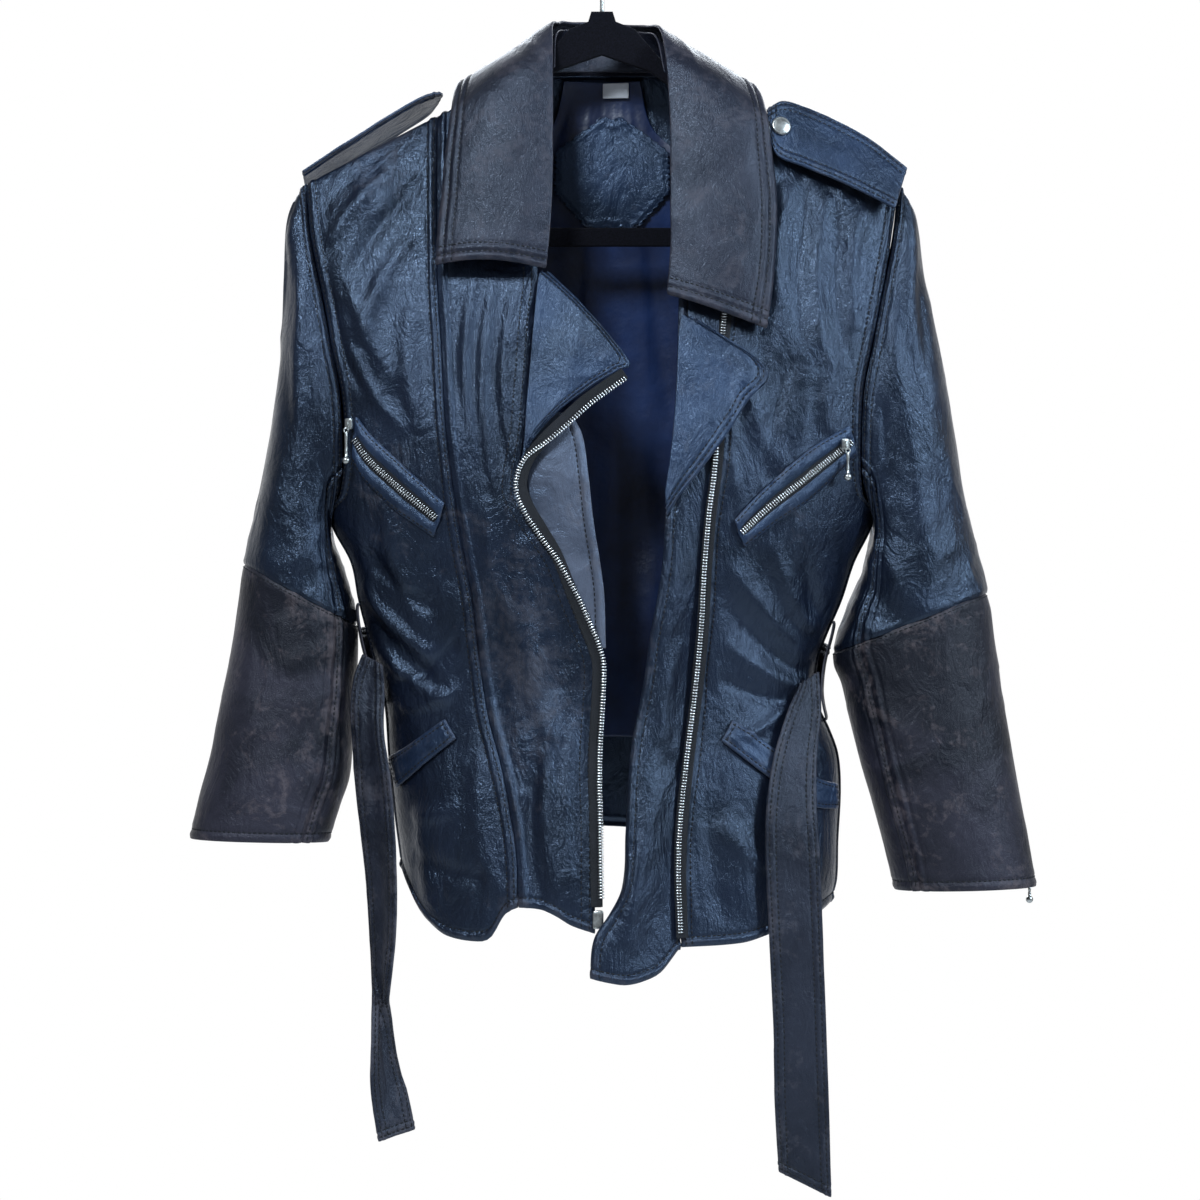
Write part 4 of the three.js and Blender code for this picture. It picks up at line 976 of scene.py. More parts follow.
UNDER_SEAMS = (133, 247)  # angles of the under sleeve's two seams


def sleeve_ring(row, angle):
    """An oval ring of the sleeve, at an angle from its outer point over the front."""
    ox, oz, ix, iz, half, y = row
    c, s = np.cos(np.radians(angle)), np.sin(np.radians(angle))
    return np.stack([(ox + ix) / 2 + (ox - ix) / 2 * c, y - half * s,
                     (oz + iz) / 2 + (oz - iz) / 2 * c], -1)


def armhole_point(sign, angle):
    """The armhole's loop at an angle round it, from the body's own form."""
    z = mix(SHOULDER_END - 0.2, UNDERARM_Z + SEAM_GAP, (1 - np.cos(np.radians(angle))) / 2)
    turn = angle_at(sign * at(ARMHOLE, z), z)
    in_front = (np.sin(np.radians(angle)) >= 0)[..., None]
    point = np.where(in_front, ring(FRONT, turn, z), ring(BACK, turn, z))
    point[..., 0] = sign * (at(ARMHOLE, z) + 0.6)
    return point


def sleeve_place(side, start, stop, a0, a1):
    """A stretch of sleeve between two rings, and between two angles round it."""
    sign, rows = SLEEVE[side]

    def place(U, V):
        angle = mix(a0, a1, U)
        gap = armhole_point(sign, angle) - sleeve_ring(rows[0], angle)
        share = FROM_ARMHOLE + [0] * (len(rows) - len(FROM_ARMHOLE))
        rings = [sleeve_ring(row, angle) + gap * part for row, part in zip(rows, share)]
        return chain(np.array(rings), mix(start, stop, V) / (len(rows) - 1))
    return place


# Creases of the sleeves, as seen from the front: the same list, mirrored, serves the back.
SLEEVE_CREASES = {
    "r": [((-248, -215, -262, -400), 7, 2.4), ((-238, -210, -240, -420), 7, -2.0),
          ((-228, -250, -228, -470), 6, 2.0), ((-262, -330, -278, -480), 7, -1.8),
          ((-250, -420, -265, -510), 8, 1.8), ((-215, -470, -250, -520), 7, 2.0),
          ((-205, -500, -255, -545), 6, -2.0), ((-210, -540, -190, -515), 5, 1.6),
          ((-235, -380, -215, -500), 6, -1.5), ((-205, -565, -250, -585), 7, 1.4),
          ((-204, -600, -240, -620), 7, 1.2), ((-280, -560, -270, -640), 9, 1.0)],
    "l": [((246, -215, 262, -380), 7, 2.6), ((256, -225, 275, -420), 6, -2.0),
          ((236, -225, 246, -420), 7, 2.4), ((228, -260, 232, -450), 6, -2.0),
          ((262, -330, 290, -470), 7, 2.0), ((222, -330, 232, -500), 6, 1.8),
          ((245, -420, 268, -520), 8, 1.8), ((215, -480, 260, -545), 7, 2.2),
          ((200, -500, 245, -560), 6, -2.0), ((196, -530, 225, -565), 5, 1.8),
          ((280, -430, 300, -510), 7, -1.6), ((205, -590, 240, -640), 8, 1.8),
          ((212, -570, 232, -660), 7, -1.4), ((228, -620, 240, -720), 8, 1.4),
          ((300, -600, 312, -700), 10, 1.0)],
}


TOP_FADE = 12
ELBOW_FOLDS_FROM, ELBOW_FOLDS_OVER = -430, 70


def sleeve_relief(side, upper):
    """Creases and crumples of one sleeve, above or below the elbow seam."""
    seed = {"r": 101, "l": 131}[side]

    def relief(sheet):
        x, y, z = (sheet.points[..., k] for k in range(3))
        facing = np.clip(np.abs(sheet.normals[..., 1]) * 1.4, 0, 1)
        height = sum(crease(x, z, *one) for one in SLEEVE_CREASES[side]) * facing
        around = np.sign(y) * 90 + x + y
        rough = noise(around / 40, z / 75, seed) * 1.3
        if upper:
            rough = rough + 0.9 * crumple(around, z, seed + 3, 24, turn=84, stretch=3.2)
            near_elbow = np.clip((ELBOW_FOLDS_FROM - z) / ELBOW_FOLDS_OVER, 0, 1)
            rough = rough + near_elbow * 1.1 * crumple(around, z, seed + 5, 18, turn=25, stretch=2)
        else:
            rough = rough * 0.7 + 0.45 * crumple(around, z, seed + 7, 30, turn=30, stretch=2)
        calm = np.clip(sheet.distance["top"] / TOP_FADE, 0, 1)
        return (height + rough) * calm
    return relief


def ring_middle(row):
    ox, oz, ix, iz = row[:4]
    return (ox + ix) / 2, 0, (oz + iz) / 2


SLEEVE_GAP, ELBOW_GAP = 0.1, 0.004  # half the gaps: in degrees, and in rings
first, second = UNDER_SEAMS
for side, (sign, rows) in SLEEVE.items():
    for name, a0, a1, wide in (
            ("top", second - 360 + SLEEVE_GAP, first - SLEEVE_GAP, 215),
            ("under", first + SLEEVE_GAP, second - SLEEVE_GAP, 100)):
        strip_piece(f"sleeve_{name}_{side}", sleeve_place(side, 0, ELBOW - ELBOW_GAP, a0, a1),
                    (320, wide), ring_middle(rows[3]), LEATHER, LEATHER_MAT, "leather",
                    {"left": sewn_seam, "right": sewn_seam, "top": sewn_seam,
                     "bottom": plain_seam}, sleeve_relief(side, True), coarse=3.7,
                    edges=(11, 11))
        strip_piece(f"forearm_{name}_{side}", sleeve_place(side, ELBOW + ELBOW_GAP, CUFF, a0, a1),
                    (215, wide), ring_middle(rows[8]), LEATHER, FOREARM_MAT, "worn_leather",
                    {"left": sewn_seam, "right": sewn_seam, "top": plain_seam,
                     "bottom": cuff_edge}, sleeve_relief(side, False), coarse=3.7,
                    edges=(11, 12))


# ---- small bars: stitches and zip teeth ----------------------------------------------------------
def bars(name, centres, axes, ups, sections, material, slot):
    """Many small lofted bars in one mesh. Sections are (place along, half-width, half-height,
    rise), in mm, from one end to the other."""
    axes = unit(axes)
    sides = unit(np.cross(axes, ups))
    ups = np.cross(sides, axes)
    corners = []
    for place, wide, high, rise in sections:
        for a, b in ((1, 1), (-1, 1), (-1, -1), (1, -1)):
            corners.append(centres + axes * place + sides * (a * wide) + ups * (b * high + rise))
    verts = np.stack(corners, 1)
    count = 4 * len(sections)
    faces = [(0, 1, 2, 3), (count - 1, count - 2, count - 3, count - 4)]
    for s in range(0, count - 4, 4):
        for c in range(4):
            d = (c + 1) % 4
            faces.append((s + 4 + c, s + 4 + d, s + d, s + c))
    faces = np.array(faces)[None] + (np.arange(len(centres)) * count)[:, None, None]
    settle(make_mesh(name, verts, faces.reshape(-1, 4), material), slot)


def stations(points, normals, pitch):
    """Places every pitch mm along a line, with the way it runs and its normal there."""
    step = np.linalg.norm(np.diff(points, axis=0), axis=1)
    s = np.concatenate([[0], np.cumsum(step)])
    spots = np.arange(pitch / 2, s[-1] - pitch / 2, pitch)

    def along(values, where):
        return np.stack([np.interp(where, s, values[:, k]) for k in range(3)], 1)
    ahead = along(points, spots + 1) - along(points, spots - 1)
    return along(points, spots), ahead, along(normals, spots)


STITCH_PITCH, STITCH_LIFT = 4.2, 0.12
STITCH = [(-1.55, 0.18, 0.12, -0.30), (-0.9, 0.42, 0.30, 0.02), (0.9, 0.42, 0.30, 0.02),
          (1.55, 0.18, 0.12, -0.30)]


def sew(name, rows, slot="leather"):
    """Stitches along rows of a sheet: each row is (sheet name, edge, inset)."""
    parts = [stations(*SHEETS[sheet].line(edge, inset, STITCH_LIFT), STITCH_PITCH)
             for sheet, edge, inset in rows]
    bars(name, *(np.concatenate(values) for values in zip(*parts)), STITCH, THREAD_MAT, slot)


# ---- front zips ----------------------------------------------------------------------------------
ZIP_TAPE_R = [(17, -356, 7), (4, -365, 7), (-14, -378, 7), (-31, -394, 7), (-46, -409, 7),
              (-57, -423, 6), (-62, -441, 4.5), (-57, -457, 3), (-46, -476, 2.2),
              (-35, -495, 2.2), (-24, -522, 2.2), (-14, -547, 2.2), (-6, -568, 2.2),
              (-3, -588, 2.2), (-6, -655, 2.2), (-5, -707, 2.2), (-4, -766, 2.2)]
ZIP_TAPE_L = [(97, -304, 1.2), (92, -360, 1.4), (88.5, -425, 2), (84, -460, 3), (80, -506, 3.4),
              (77, -550, 3.6), (72, -605, 3.6), (66, -655, 3.6), (61, -700, 3.6),
              (59.5, -740, 3.6), (61, -790, 3.6)]
TAPE_WIDE = 8.0
TOOTH_PITCH = 2.3
TOOTH = [(-2.1, 0.40, 0.55, 0.0), (-0.9, 0.52, 0.95, 0.1), (0.8, 0.50, 0.95, 0.1),
         (1.9, 0.60, 0.8, 0.0), (2.4, 0.32, 0.45, -0.1)]


def teeth(name, place, long, lane, reach, pitch=TOOTH_PITCH, shape=TOOTH):
    """A row of teeth along a band: lane holds rows of (place along, place across), and reach,
    1 or -1, is the way they point."""
    v = np.linspace(0.004, 0.996, 6 * int(long / pitch))[:, None]
    u = at(lane, v)
    line = place(u, v)[:, 0]
    aside = place(u + 0.06, v)[:, 0] - line
    ahead = np.gradient(line, axis=0)
    out = unit(np.cross(aside, ahead))
    out = out * np.where(out[:, 1:2] > 0, -1, 1)
    spots, _, up = stations(line + out * 0.5, out, pitch)
    _, _, across = stations(line + out * 0.5, aside, pitch)
    bars(name, spots, across * reach, up, shape, TEETH_MAT, "metal")


def raised(line, rise):
    """A line of (x, z, lift), lifted further."""
    return [(x, z, lift + rise) for x, z, lift in line]


def straight(across):
    return [(0, across), (1, across)]


# The right zip turns over: its teeth change sides at the bend, and again lower down.
TURNED_LANE = [(0.0, 0.06), (0.22, 0.06), (0.33, 0.94), (0.52, 0.94), (0.66, 0.06), (1, 0.06)]
for side, line in (("r", ZIP_TAPE_R), ("l", ZIP_TAPE_L)):
    strip_piece(f"zip_tape_{side}", front_band(line, TAPE_WIDE), (480, TAPE_WIDE), IN_FRONT, TAPE,
                TAPE_MAT, "zip_tape", {}, coarse=1.6, edges=(2, 4), lift=TAPE)
teeth("zip_teeth_r", front_band(raised(ZIP_TAPE_R, TAPE), TAPE_WIDE), 500, TURNED_LANE, -1)
teeth("zip_teeth_l", front_band(raised(ZIP_TAPE_L, TAPE), TAPE_WIDE), 490, straight(0.66), 1)


def facing_front(x, z, lift):
    """A point off the plain front form, and the way out there."""
    spot, out = off_body(FRONT, angle_at(np.array([x]), np.array([z])), np.array([z]), 0.0)
    return spot[0] + out[0] * lift, out[0]


def rounded_block(name, size, spot, out, crown):
    """A small cast block, rounded all over: size is (wide, high, deep), out its outward way."""
    wide, high, deep = size
    out = np.array(out, float) / np.linalg.norm(out)
    side = unit(np.cross((0, 0, 1.0), out))
    top = np.cross(out, side)
    n, square = 12, 6  # points along a side, and how square the block stays
    t = np.linspace(-1, 1, n)
    verts, faces = [], []
    axes = [(side, wide / 2), (top, high / 2), (out, deep / 2)]
    for k in range(3):
        for way in (-1, 1):
            a, b = np.meshgrid(t, t)
            p = np.zeros((n, n, 3))
            p[..., k] = way
            p[..., (k + 1) % 3] = a
            p[..., (k + 2) % 3] = b
            p = p / (np.sum(np.abs(p) ** square, -1, keepdims=True) ** (1 / square))
            p[..., 2] *= 1 + crown * (1 - p[..., 0] ** 2) * (p[..., 2] > 0)
            grid = sum(p[..., i:i + 1] * axes[i][0] * axes[i][1] for i in range(3)) + spot
            faces.append(len(verts) * n * n + grid_faces(n, n)[:, ::way])
            verts.append(grid.reshape(-1, 3))
    piece = make_mesh(name, np.concatenate(verts), np.concatenate(faces), STEEL_MAT)
    weld(piece)
    return piece


def weld(piece, gap=1e-6):
    """Joins the points of a mesh that lie together, and turns its faces out."""
    work = bmesh.new()
    work.from_mesh(piece.data)
    bmesh.ops.remove_doubles(work, verts=work.verts, dist=gap)
    bmesh.ops.recalc_face_normals(work, faces=work.faces)
    work.to_mesh(piece.data)
    work.free()


spot, out = facing_front(-3, -776, 3.2)
settle(rounded_block("zip_box", (8.4, 14.4, 3.6), spot, out, crown=0.25), "metal", "zip_box")


# ---- chest pockets -------------------------------------------------------------------------------
# Each pocket's jetted frame as rows of (x, z, x, z), its slider's place, and its pull's length.
CHEST = {
    "r": ([(-192, -387, -195, -420), (-179, -403, -184, -437), (-156, -424, -160, -459),
           (-123, -455, -131, -480)], (-195, -392), 24),
    "l": ([(103, -468, 111, -488), (126, -444, 134, -470), (160, -414, 165, -448),
           (192, -394, 198, -416)], (187, -408), 21),
}
JET_HIGH, JET_ENDS, SLOT_DEEP = 1.1, 7, 2.0  # mm
JET_AT, JET_HALF, SLOT_HALF, SLOT_STEEP = 0.62, 0.24, 0.30, 26  # as shares of half the width
SMALL_PITCH = 2.1
SMALL_TOOTH = [(-1.6, 0.30, 0.5, 0), (-0.4, 0.38, 0.8, 0), (0.9, 0.42, 0.8, 0), (1.6, 0.25, 0.4, 0)]


def jet_relief(sheet):
    """Two rounded jets with a slot between them for the zip, narrowing to the ends."""
    from_middle = np.abs(sheet.U - 0.5) * 2
    jets = JET_HIGH * np.exp(-((from_middle - JET_AT) / JET_HALF) ** 2)
    slot = -SLOT_DEEP / (1 + np.exp((from_middle - SLOT_HALF) * SLOT_STEEP))
    ends = np.clip(np.minimum(sheet.distance["top"], sheet.distance["bottom"]) / JET_ENDS, 0, 1)
    return (jets + slot) * ends


def ring_loop(name, centre, axis, radius, wire):
    """A closed ring of wire round an axis."""
    axis, side, up = axes_round(axis, (0.2, 0.3, 0.9))
    big, small = np.meshgrid(np.linspace(0, 2 * np.pi, 28, endpoint=False),
                             np.linspace(0, 2 * np.pi, 12, endpoint=False), indexing="ij")
    way = np.cos(big)[..., None] * side + np.sin(big)[..., None] * up
    points = (np.asarray(centre, float) + way * radius
              + unit(way) * (wire * np.cos(small))[..., None]
              + axis * (wire * np.sin(small))[..., None])
    return make_mesh(name, points, grid_faces(*big.shape, ring=True), STEEL_MAT)


PULL_AT = {"chest_pull_r": (-200.13, -53.01, -396.84), "chest_pull_l": (191.97, -56.63, -412.87),
           "cuff_pull_l": (341.99, 17.48, -757.43)}


def pull_tab(name, drop):
    """A zip pull: an eye, a turned rod and a ball, hanging from its pivot by its drop. It rides
    on the body of its own name."""
    pivot = PULL_AT[name]
    ball, rod, rod_top, neck_gap = 3.0, 1.15, 2.6, 0.8
    steps, turns = 8, 12
    step = (drop - rod_top - ball - neck_gap) / steps
    profile = [(AXIS, -2.0), (rod * 0.8, -2.1), (rod, -rod_top)]
    profile += [(rod * (1 + 0.12 * math.sin(k * 1.1)), -rod_top - k * step)
                for k in range(1, steps)]
    neck = math.asin(rod / ball)
    profile += [(ball * math.sin(neck + (math.pi - neck) * k / turns),
                 -drop + ball * math.cos(neck + (math.pi - neck) * k / turns))
                for k in range(turns + 1)]
    profile[-1] = (AXIS, -drop - ball)
    tab = lathe(name, profile, pivot, (0, 0, 1), STEEL_MAT, 28)
    eye = ring_loop(name + "_eye", np.array(pivot) + (0, 0, -0.6), (0, 1, 0), 1.7, 0.6)
    settle(tab, "metal", name, body=name)
    settle(eye, "metal", body=name)


def zip_slider(name, size, spot, out):
    """A slider: a crowned body with a bridge over it for the pull."""
    body = rounded_block(name, size, spot, out, crown=0.3)
    settle(body, "metal", name)
    out = np.array(out, float) / np.linalg.norm(out)
    across = (1, 0, 0) if abs(out[0]) < 0.5 else (0, 1, 0)
    bridge = ring_loop(name + "_bridge", np.asarray(spot) + out * (size[2] * 0.45), across,
                       size[1] * 0.27, 0.55)
    settle(bridge, "metal")


for side, (rows, slider, drop) in CHEST.items():
    strip_piece(f"chest_frame_{side}", front_strip(rows, 1 + DOUBLE), (105, 31), IN_FRONT,
                DOUBLE, PAINTED_HIGHLIGHT_LAPEL_MAT, "leather", {edge: plain_seam for edge in LONG_EDGES},
                jet_relief, coarse=1.2, edges=(4, 6))
    middle = [((xa + xb) / 2, (za + zb) / 2, DOUBLE) for xa, za, xb, zb in rows]
    strip_piece(f"chest_zip_{side}", front_band(raised(middle, 0.5), 8.4), (96, 8.4), IN_FRONT,
                0.8, TAPE_MAT, "zip_tape", {}, coarse=1.6, edges=(2, 3))
    for row, across, reach in (("upper", 0.38, 1), ("lower", 0.62, -1)):
        teeth(f"chest_teeth_{row}_{side}", front_band(raised(middle, 0.9), 9), 96,
              straight(across), reach, SMALL_PITCH, SMALL_TOOTH)
    spot, out = facing_front(*slider, 7.2)
    zip_slider(f"chest_slider_{side}", (6.4, 8.6, 3.2), spot, out)
    pull_tab(f"chest_pull_{side}", drop)


# ---- lower pocket welts --------------------------------------------------------------------------
# Each welt as rows of (x, z, x, z), its height over the front, and its length.
WELTS = {"r": ([(-167, -655, -161, -677), (-145, -640, -138, -657), (-122, -624, -114, -638)], 1,
               70),
         "l": ([(101, -625, 93, -640), (134, -648, 128, -667), (165, -669, 163, -690),
                (184, -676, 184, -694)], 1.2, 110)}
for side, (rows, lift, long) in WELTS.items():
    strip_piece(f"welt_{side}", front_strip(rows, lift + DOUBLE), (long, 20), IN_FRONT, DOUBLE,
                PAINTED_HIGHLIGHT_LAPEL_MAT, "leather", {edge: welt_edge for edge in ALL_EDGES}, coarse=1.3,
                edges=(6, 6))


# ---- belt and side loops -------------------------------------------------------------------------
BELT_END_R = [((-188, -26, -574), (-172, -36, -582)), ((-195, -28, -594), (-171, -39, -604)),
              ((-197, -31, -620), (-171, -45, -632)), ((-193, -32, -673), (-164, -52, -680)),
              ((-187, -34, -724), (-160, -58, -735)), ((-182, -38, -778), (-160, -62, -790)),
              ((-179, -44, -826), (-165, -62, -834)), ((-180, -56, -858), (-167, -44, -852)),
              ((-181, -62, -895), (-161, -38, -893)), ((-179, -60, -925), (-153, -40, -922)),
              ((-175, -58, -952), (-148, -42, -945))]
BELT_END_L = [((155, -38, -598), (170, -31, -588)), ((145, -52, -618), (171, -42, -618)),
              ((134, -66, -652), (167, -58, -650)), ((128, -76, -690), (166, -72, -690)),
              ((127, -80, -725), (168, -78, -725)), ((129, -82, -775), (170, -80, -780)),
              ((133, -82, -860), (173, -80, -862)), ((134, -82, -918), (175, -80, -922)),
              ((137, -82, -972), (177, -80, -992))]
BELT_LIFT, BELT_WIDE, LOOP_RISE = 5.0, 41.0, 5.5


def belt_relief(seed, fold=0.0):
    """A limp belt: uneven, with a lengthwise hollow where it is folded."""
    def relief(sheet):
        x, z = sheet.points[..., 0], sheet.points[..., 2]
        soft = 0.7 * noise(x / 22, z / 34, seed) + 0.5 * crumple(x, z, seed + 1, 16, 70, 2.4)
        return soft - fold * np.exp(-((sheet.U - 0.5) / 0.16) ** 2)
    return relief


BELT_EDGES = {edge: strap_edge for edge in LONG_EDGES}
for side, rows, wide, inside, relief, coarse in (
        ("r", BELT_END_R, 30, (-170, 40, -780), belt_relief(151, 1.6), 2.1),
        ("l", BELT_END_L, BELT_WIDE, (150, 40, -780), belt_relief(153), 2.4)):
    strip_piece(f"belt_end_{side}", strip(rows), (400, wide), inside, DOUBLE, BELT_MAT, "leather",
                {**BELT_EDGES, "bottom": strap_edge}, relief, coarse=coarse, lift=DOUBLE)


def belt_back(U, V):
    angle = mix(-86.0, 86.0, V)
    drop = at([(-90, -572), (0, -566), (90, -586)], angle)
    return off_body(BACK, angle, drop + BELT_WIDE * (0.5 - U), BELT_LIFT + DOUBLE)[0]


strip_piece("belt_back", belt_back, (430, BELT_WIDE), (0, 0, -570), DOUBLE, BELT_MAT, "leather",
            BELT_EDGES, relief=soft_relief(155, 0.9, 30), coarse=2.2)


def belt_loop(sign, top, bottom):
    """A narrow band that stands out from the side of the body, round the belt."""
    def place(U, V):
        rise = LOOP_RISE * np.sqrt(np.sin(np.pi * V))
        return off_body(FRONT, sign * mix(82.0, 88.0, U), mix(top, bottom, V),
                        1 + rise + LEATHER)[0]
    return place


for side, place in (("r", belt_loop(-1, -532, -612)), ("l", belt_loop(1, -546, -626))):
    strip_piece(f"loop_{side}", place, (84, 12), (0, 0, -580), LEATHER, BELT_MAT, "leather",
                {}, coarse=1.4, edges=(3, 4), wear=0.3)


# ---- inside the back -----------------------------------------------------------------------------
LINING_TOP, LINING_FOOT = -114.0, -640.0
LINING_FRONT, LINING_DIP = LEATHER + 7, 1.8
FAN_TOP, FAN_AT = -60, 300  # the pleats fan out from the neck, and are true in width at -300
ON_LINING = LINING_FRONT + SATIN + 2.4
LINING_HALF = [(-114, 30), (-150, 40), (-175, 66), (-210, 98), (-640, 112)]
PATCH_X, PATCH_HALF = 8, [(-143, 9), (-170, 45), (-202, 46), (-231, 20)]


def inside_back(x, z, forward):
    """A point inside the jacket, forward of the back."""
    point = ring(BACK, angle_at(x, z), z)
    point[..., 1] -= forward
    return point


def lining(U, V):
    z = mix(LINING_TOP, LINING_FOOT, V)
    return inside_back(mix(-1, 1, U) * at(LINING_HALF, z), z, LINING_FRONT + SATIN)


def lining_relief(sheet):
    """Pleats that fan out from the neck, calm under the patch and at the top edge."""
    x, z = sheet.points[..., 0], sheet.points[..., 2]
    fanned = (x - PATCH_X) * FAN_AT / (np.abs(z - FAN_TOP) - FAN_TOP)
    pleats = 2.2 * crumple(fanned, z, 161, 26, turn=88, stretch=6)
    pleats = pleats + 0.8 * noise(fanned / 9, z / 160, 163)
    round_patch = 1 - 0.85 * patch(x, z, PATCH_X, -187, 55, 60)
    below_top = np.clip((LINING_TOP - 6 - z) / 40, 0, 1)
    return (pleats - LINING_DIP) * round_patch * below_top


strip_piece("lining_back", lining, (530, 200), (0, 200, -300), SATIN, LINING_MAT, "satin", {},
            relief=lining_relief, coarse=4.2, edges=(4, 4))


def label_patch(U, V):
    outline = np.array(PATCH_HALF, float)
    z = mix(outline[0, 0], outline[-1, 0], V)
    half = np.interp(-z, -outline[:, 0], outline[:, 1])
    pinked = np.where(np.abs(U - 0.5) > 0.49, np.sin(V * 120) * 1.3, 0) * np.sign(U - 0.5)
    notched = np.where((V < 0.02) | (V > 0.98), np.sin(U * half) * 1.2, 0)
    return inside_back(PATCH_X + mix(-1, 1, U) * half + pinked, z + notched,
                       ON_LINING + LEATHER)


strip_piece("label_patch", label_patch, (90, 80), (0, 200, -187), LEATHER, PAINTED_HIGHLIGHT_LAPEL_MAT,
            "worn_leather", {edge: welt_edge for edge in ALL_EDGES}, soft_relief(171, 0.25),
            coarse=1.4, edges=(5, 5))
strip_piece("size_label", lambda U, V: inside_back(mix(1.0, 21.0, U), mix(-115.0, -126.0, V),
                                                   ON_LINING + 0.8),
            (11, 20), (0, 200, -122), 0.8, WHITE_MAT, "white_cloth", {}, coarse=1.0,
            edges=(2, 2))


# ---- hanger and hook -----------------------------------------------------------------------------
HANGER_ARM = [(8.5, -62), (11, -70), (26, -76), (38, -90), (58, -113), (70, -123), (115, -149),
              (160, -172), (200, -194), (212, -201)]
HANGER_THICK, HANGER_ROUND = 5.0, 1.6
HOOK_WIRE = 1.75  # its radius


def quad_bezier(a, b, c, count=10):
    """Points along a curve from a to c, drawn towards b."""
    t = np.linspace(0, 1, count)[:, None]
    a, b, c = (np.array(p, float) for p in (a, b, c))
    return list(map(tuple, (1 - t) ** 2 * a + 2 * t * (1 - t) * b + t * t * c))


def hanger_outlines():
    """The hanger's outer outline, and that of the opening over its bar."""
    outer = HANGER_ARM + quad_bezier((212, -201), (222, -226), (196, -249))[1:]
    outer += quad_bezier((-196, -249), (-222, -226), (-212, -201))
    outer += [(-x, z) for x, z in reversed(HANGER_ARM)][1:]
    inner = [(0, -97), (-38, -110), (-72, -136), (-118, -160), (-190, -202)]
    inner += quad_bezier((-190, -202), (-203, -222), (-188, -234))[1:]
    inner += quad_bezier((188, -234), (203, -222), (190, -202))
    inner += [(118, -160), (72, -136), (38, -110)]
    return outer, inner


def solid_of_outlines(name, outlines, thick, bevel, material):
    """A flat shape with rounded edges, standing in the XZ plane."""
    curve = bpy.data.curves.new(name, "CURVE")
    curve.dimensions = "2D"
    curve.fill_mode = "BOTH"
    curve.extrude = (thick / 2 - bevel) * MM
    curve.bevel_depth = bevel * MM
    curve.bevel_resolution = 3
    curve.offset = -bevel * MM
    for outline in outlines:
        spline = curve.splines.new("POLY")
        spline.points.add(len(outline) - 1)
        spline.use_cyclic_u = True
        for point, (x, z) in zip(spline.points, outline):
            point.co = (x * MM, z * MM, 0, 1)
    shape = bpy.data.objects.new(name + " outline", curve)
    bpy.context.scene.collection.objects.link(shape)
    bpy.context.view_layer.update()
    mesh = bpy.data.meshes.new_from_object(
        shape.evaluated_get(bpy.context.evaluated_depsgraph_get()))
    bpy.data.objects.remove(shape)
    mesh.transform(Matrix.Rotation(math.pi / 2, 4, "X"))
    mesh.materials.clear()
    mesh.materials.append(material)
    mesh.polygons.foreach_set("use_smooth", np.full(len(mesh.polygons), False))
    piece = add_piece(name, mesh)
    weld(piece, 1e-7)
    return piece


settle(solid_of_outlines("hanger", hanger_outlines(), HANGER_THICK, HANGER_ROUND, FLOCK_MAT),
       "flock", "hanger")


def hook_path():
    """A straight stem, a bend out to the side, and a loop over the top, open at the far side."""
    loop, knee = 20.0, -47.0
    centre = HOOK_WIRE - loop
    start = math.radians(-70)
    first = (loop * math.cos(start), centre + loop * math.sin(start))
    path = [(0, z) for z in np.linspace(-61.7, knee, 6)]
    path += quad_bezier((0, knee), (0, -41), first, 8)[1:]
    path += [(loop * math.cos(a), centre + loop * math.sin(a))
             for a in np.linspace(start, math.radians(205), 44)][1:]
    return np.array([(x, 0, z) for x, z in path])


def wire_tube(name, path, radius):
    """A tube along a path in the XZ plane, with rounded ends."""
    sides = 14
    way = unit(np.gradient(path, axis=0))
    out = np.cross(way, (0, 1, 0))
    turn = np.linspace(0, 2 * np.pi, sides, endpoint=False)
    cap = [(-math.cos(a) * radius, math.sin(a) * radius)
           for a in np.linspace(0.05, math.pi / 2, 5)]
    stops = ([(0, back, r) for back, r in cap] + [(k, 0, radius) for k in range(len(path))]
             + [(-1, -back, r) for back, r in reversed(cap)])
    rings = [path[k] + way[k] * shift
             + r * (np.cos(turn)[:, None] * out[k] + np.sin(turn)[:, None] * np.array((0, 1, 0)))
             for k, shift, r in stops]
    piece = make_mesh(name, np.concatenate(rings), grid_faces(len(stops), sides, tube=True),
                      STEEL_MAT)
    weld(piece)
    return piece


settle(wire_tube("hook", hook_path(), HOOK_WIRE), "metal", "hook")


# ---- left cuff's zip -----------------------------------------------------------------------------
strip_piece("cuff_zip_l", sleeve_place("l", 7.6, 9.75, -38, -26), (75, 10), (280, 0, -700), TAPE,
            TAPE_MAT, "zip_tape", {}, coarse=1.6, edges=(2, 3), lift=0.5 + TAPE)
zip_slider("cuff_slider_l", (6.0, 7.6, 3.2), (338.99, 15.88, -751.23), (1, 0.55, 0.05))
pull_tab("cuff_pull_l", 12)


# ---- topstitching --------------------------------------------------------------------------------
def rows_along(parts, edges, insets):
    """Rows of stitches along the edges of several sheets, at each inset."""
    return [(part, edge, inset) for part in parts for edge in edges for inset in insets]


def both(*names):
    """The names of the left and the right one of each."""
    return [f"{name}_{side}" for side in "lr" for name in names]


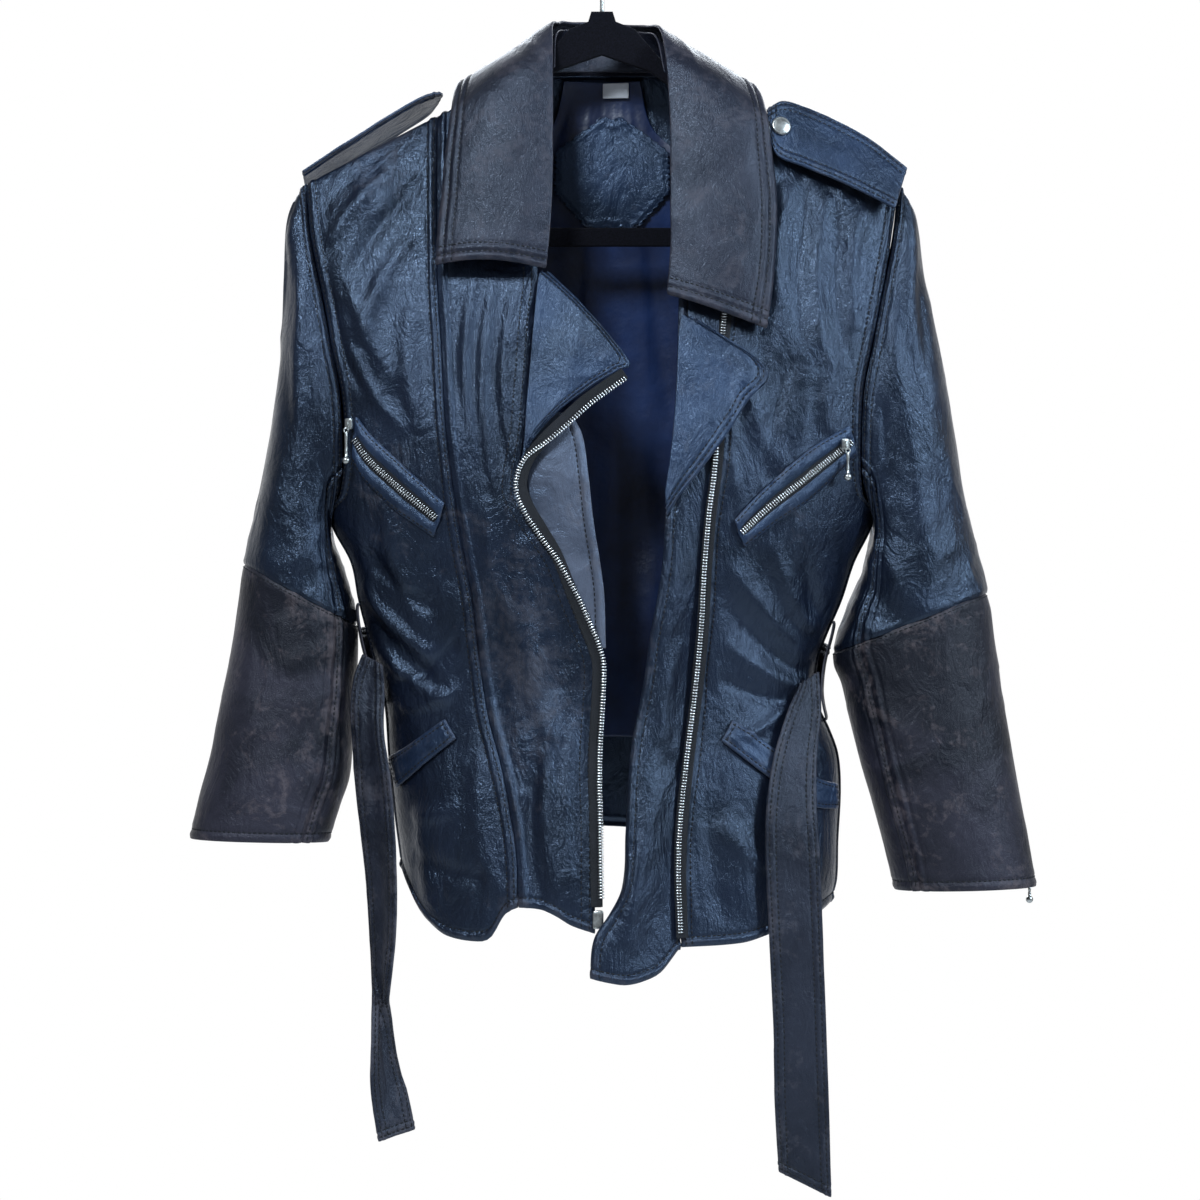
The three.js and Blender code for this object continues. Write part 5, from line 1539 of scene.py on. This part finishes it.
sew("stitches_body",
    rows_along(["side_front_r"], ["right"], SEAM_ROWS)
    + rows_along(["centre_front_r"], ["right"], (4.0, 10.5))
    + rows_along(["centre_front_r", "side_front_r"], ["bottom"], [HEM_ROW])
    + rows_along(["side_front_r"], ["left"], SEAM_ROWS)
    + rows_along(["side_front_l"], ["left"], (3.2, 8.6))
    + rows_along(["side_front_l"], ["right"], SEAM_ROWS)
    + rows_along(["side_front_l"], ["bottom"], [HEM_ROW])
    + rows_along(["overlap_l"], ["left", "bottom"], [HEM_ROW]) + [("overlap_l", "right", 3.0)])
sew("stitches_back", rows_along(["back"], LONG_EDGES, SEAM_ROWS) + [("back", "bottom", HEM_ROW)])
sew("stitches_lapels", rows_along(["lapel_r", "lapel_l"], ["right"], LAPEL_ROWS)
    + [("facing_r", "right", HEM_ROW)])
sew("stitches_collar", rows_along(["collar"], ("right", "top", "bottom"), COLLAR_ROWS),
    "worn_leather")
sew("stitches_straps", rows_along(both("epaulette"), ("left", "right", "top"), STRAP_ROWS))
sew("stitches_sleeves", rows_along(both("sleeve_top", "sleeve_under"), ["top"], SEAM_ROWS)
    + rows_along(both("sleeve_under", "forearm_under"), LONG_EDGES, [JOIN_ROW]))
sew("stitches_cuffs", rows_along(both("forearm_top", "forearm_under"), ["bottom"], [CUFF_ROW])
    + rows_along(both("forearm_top", "forearm_under"), ["top"], [2.2]), "worn_leather")
sew("stitches_belt", rows_along(["belt_end_r", "belt_end_l", "belt_back"], LONG_EDGES, STRAP_ROWS)
    + rows_along(["belt_end_r", "belt_end_l"], ["bottom"], STRAP_ROWS))
sew("stitches_pockets", rows_along(both("welt"), ALL_EDGES, [WELT_ROW])
    + rows_along(both("chest_frame"), LONG_EDGES, [1.6]))


# ---- floor, light and camera ---------------------------------------------------------------------
def floor(radius, low, grey, sides=96):
    """A pale round floor under the jacket."""
    paint = Nodes("floor paint")
    paint.shader.inputs["Base Color"].default_value = (grey, grey, grey, 1)
    paint.shader.inputs["Roughness"].default_value = 0.9
    turn = np.linspace(0, 2 * np.pi, sides, endpoint=False)
    rim = np.stack([radius * np.cos(turn), radius * np.sin(turn), np.full(sides, low)], 1)
    fan = [(0, k, k + 1) for k in range(1, sides - 1)]
    make_mesh("floor", rim, fan, paint.material)


def softbox(name, place, size, power, colour):
    """A rectangular lamp turned to the chest."""
    light = bpy.data.lights.new(name, "AREA")
    light.shape = "RECTANGLE"
    light.size, light.size_y = size
    light.energy = power
    light.color = colour
    lamp = bpy.data.objects.new(name, light)
    lamp.location = place
    lamp.rotation_euler = (Vector(CHEST_AT) - Vector(place)).to_track_quat("-Z", "Y").to_euler()
    bpy.context.scene.collection.objects.link(lamp)


def studio_world(wall, room):
    """A white wall behind the jacket, fading over the range wall to a dimmer room elsewhere."""
    world = bpy.data.worlds.new("studio")
    world.use_nodes = True
    tree = world.node_tree
    way = tree.nodes.new("ShaderNodeTexCoord")
    parts = tree.nodes.new("ShaderNodeSeparateXYZ")
    ramp = tree.nodes.new("ShaderNodeValToRGB")
    ramp.color_ramp.elements[0].position, ramp.color_ramp.elements[1].position = wall
    ramp.color_ramp.elements[0].color = (*room, 1)
    ramp.color_ramp.elements[1].color = (1, 1, 1, 1)
    tree.links.new(way.outputs["Generated"], parts.inputs["Vector"])
    tree.links.new(parts.outputs["Y"], ramp.inputs["Fac"])
    tree.links.new(ramp.outputs["Color"], tree.nodes["Background"].inputs["Color"])
    bpy.context.scene.world = world


CHEST_AT = (0, 0, -0.5)
floor(1350.0, -1250.0, 0.62)
softbox("key", (-0.9, -2.1, 1.5), (0.6, 0.6), 90, (0.78, 0.89, 1))
softbox("fill", (2.1, -1.2, 0.6), (0.5, 1.4), 60, (0.70, 0.85, 1))
for side, x in (("left", -0.9), ("right", 0.9)):
    softbox(f"back {side}", (x, 2.3, 0.9), (1.0, 1.0), 24, (0.85, 0.92, 1))
studio_world((0.35, 0.94), (0.19, 0.205, 0.23))
bpy.context.scene.view_settings.view_transform = "Standard"

lens = bpy.data.cameras.new("camera")
lens.lens, lens.sensor_width = 115.4, 36
camera = bpy.data.objects.new("camera", lens)
camera.location = (-0.0016, -3.06, -0.530)
camera.rotation_euler = (math.pi / 2, 0, 0)
bpy.context.scene.collection.objects.link(camera)
bpy.context.scene.camera = camera
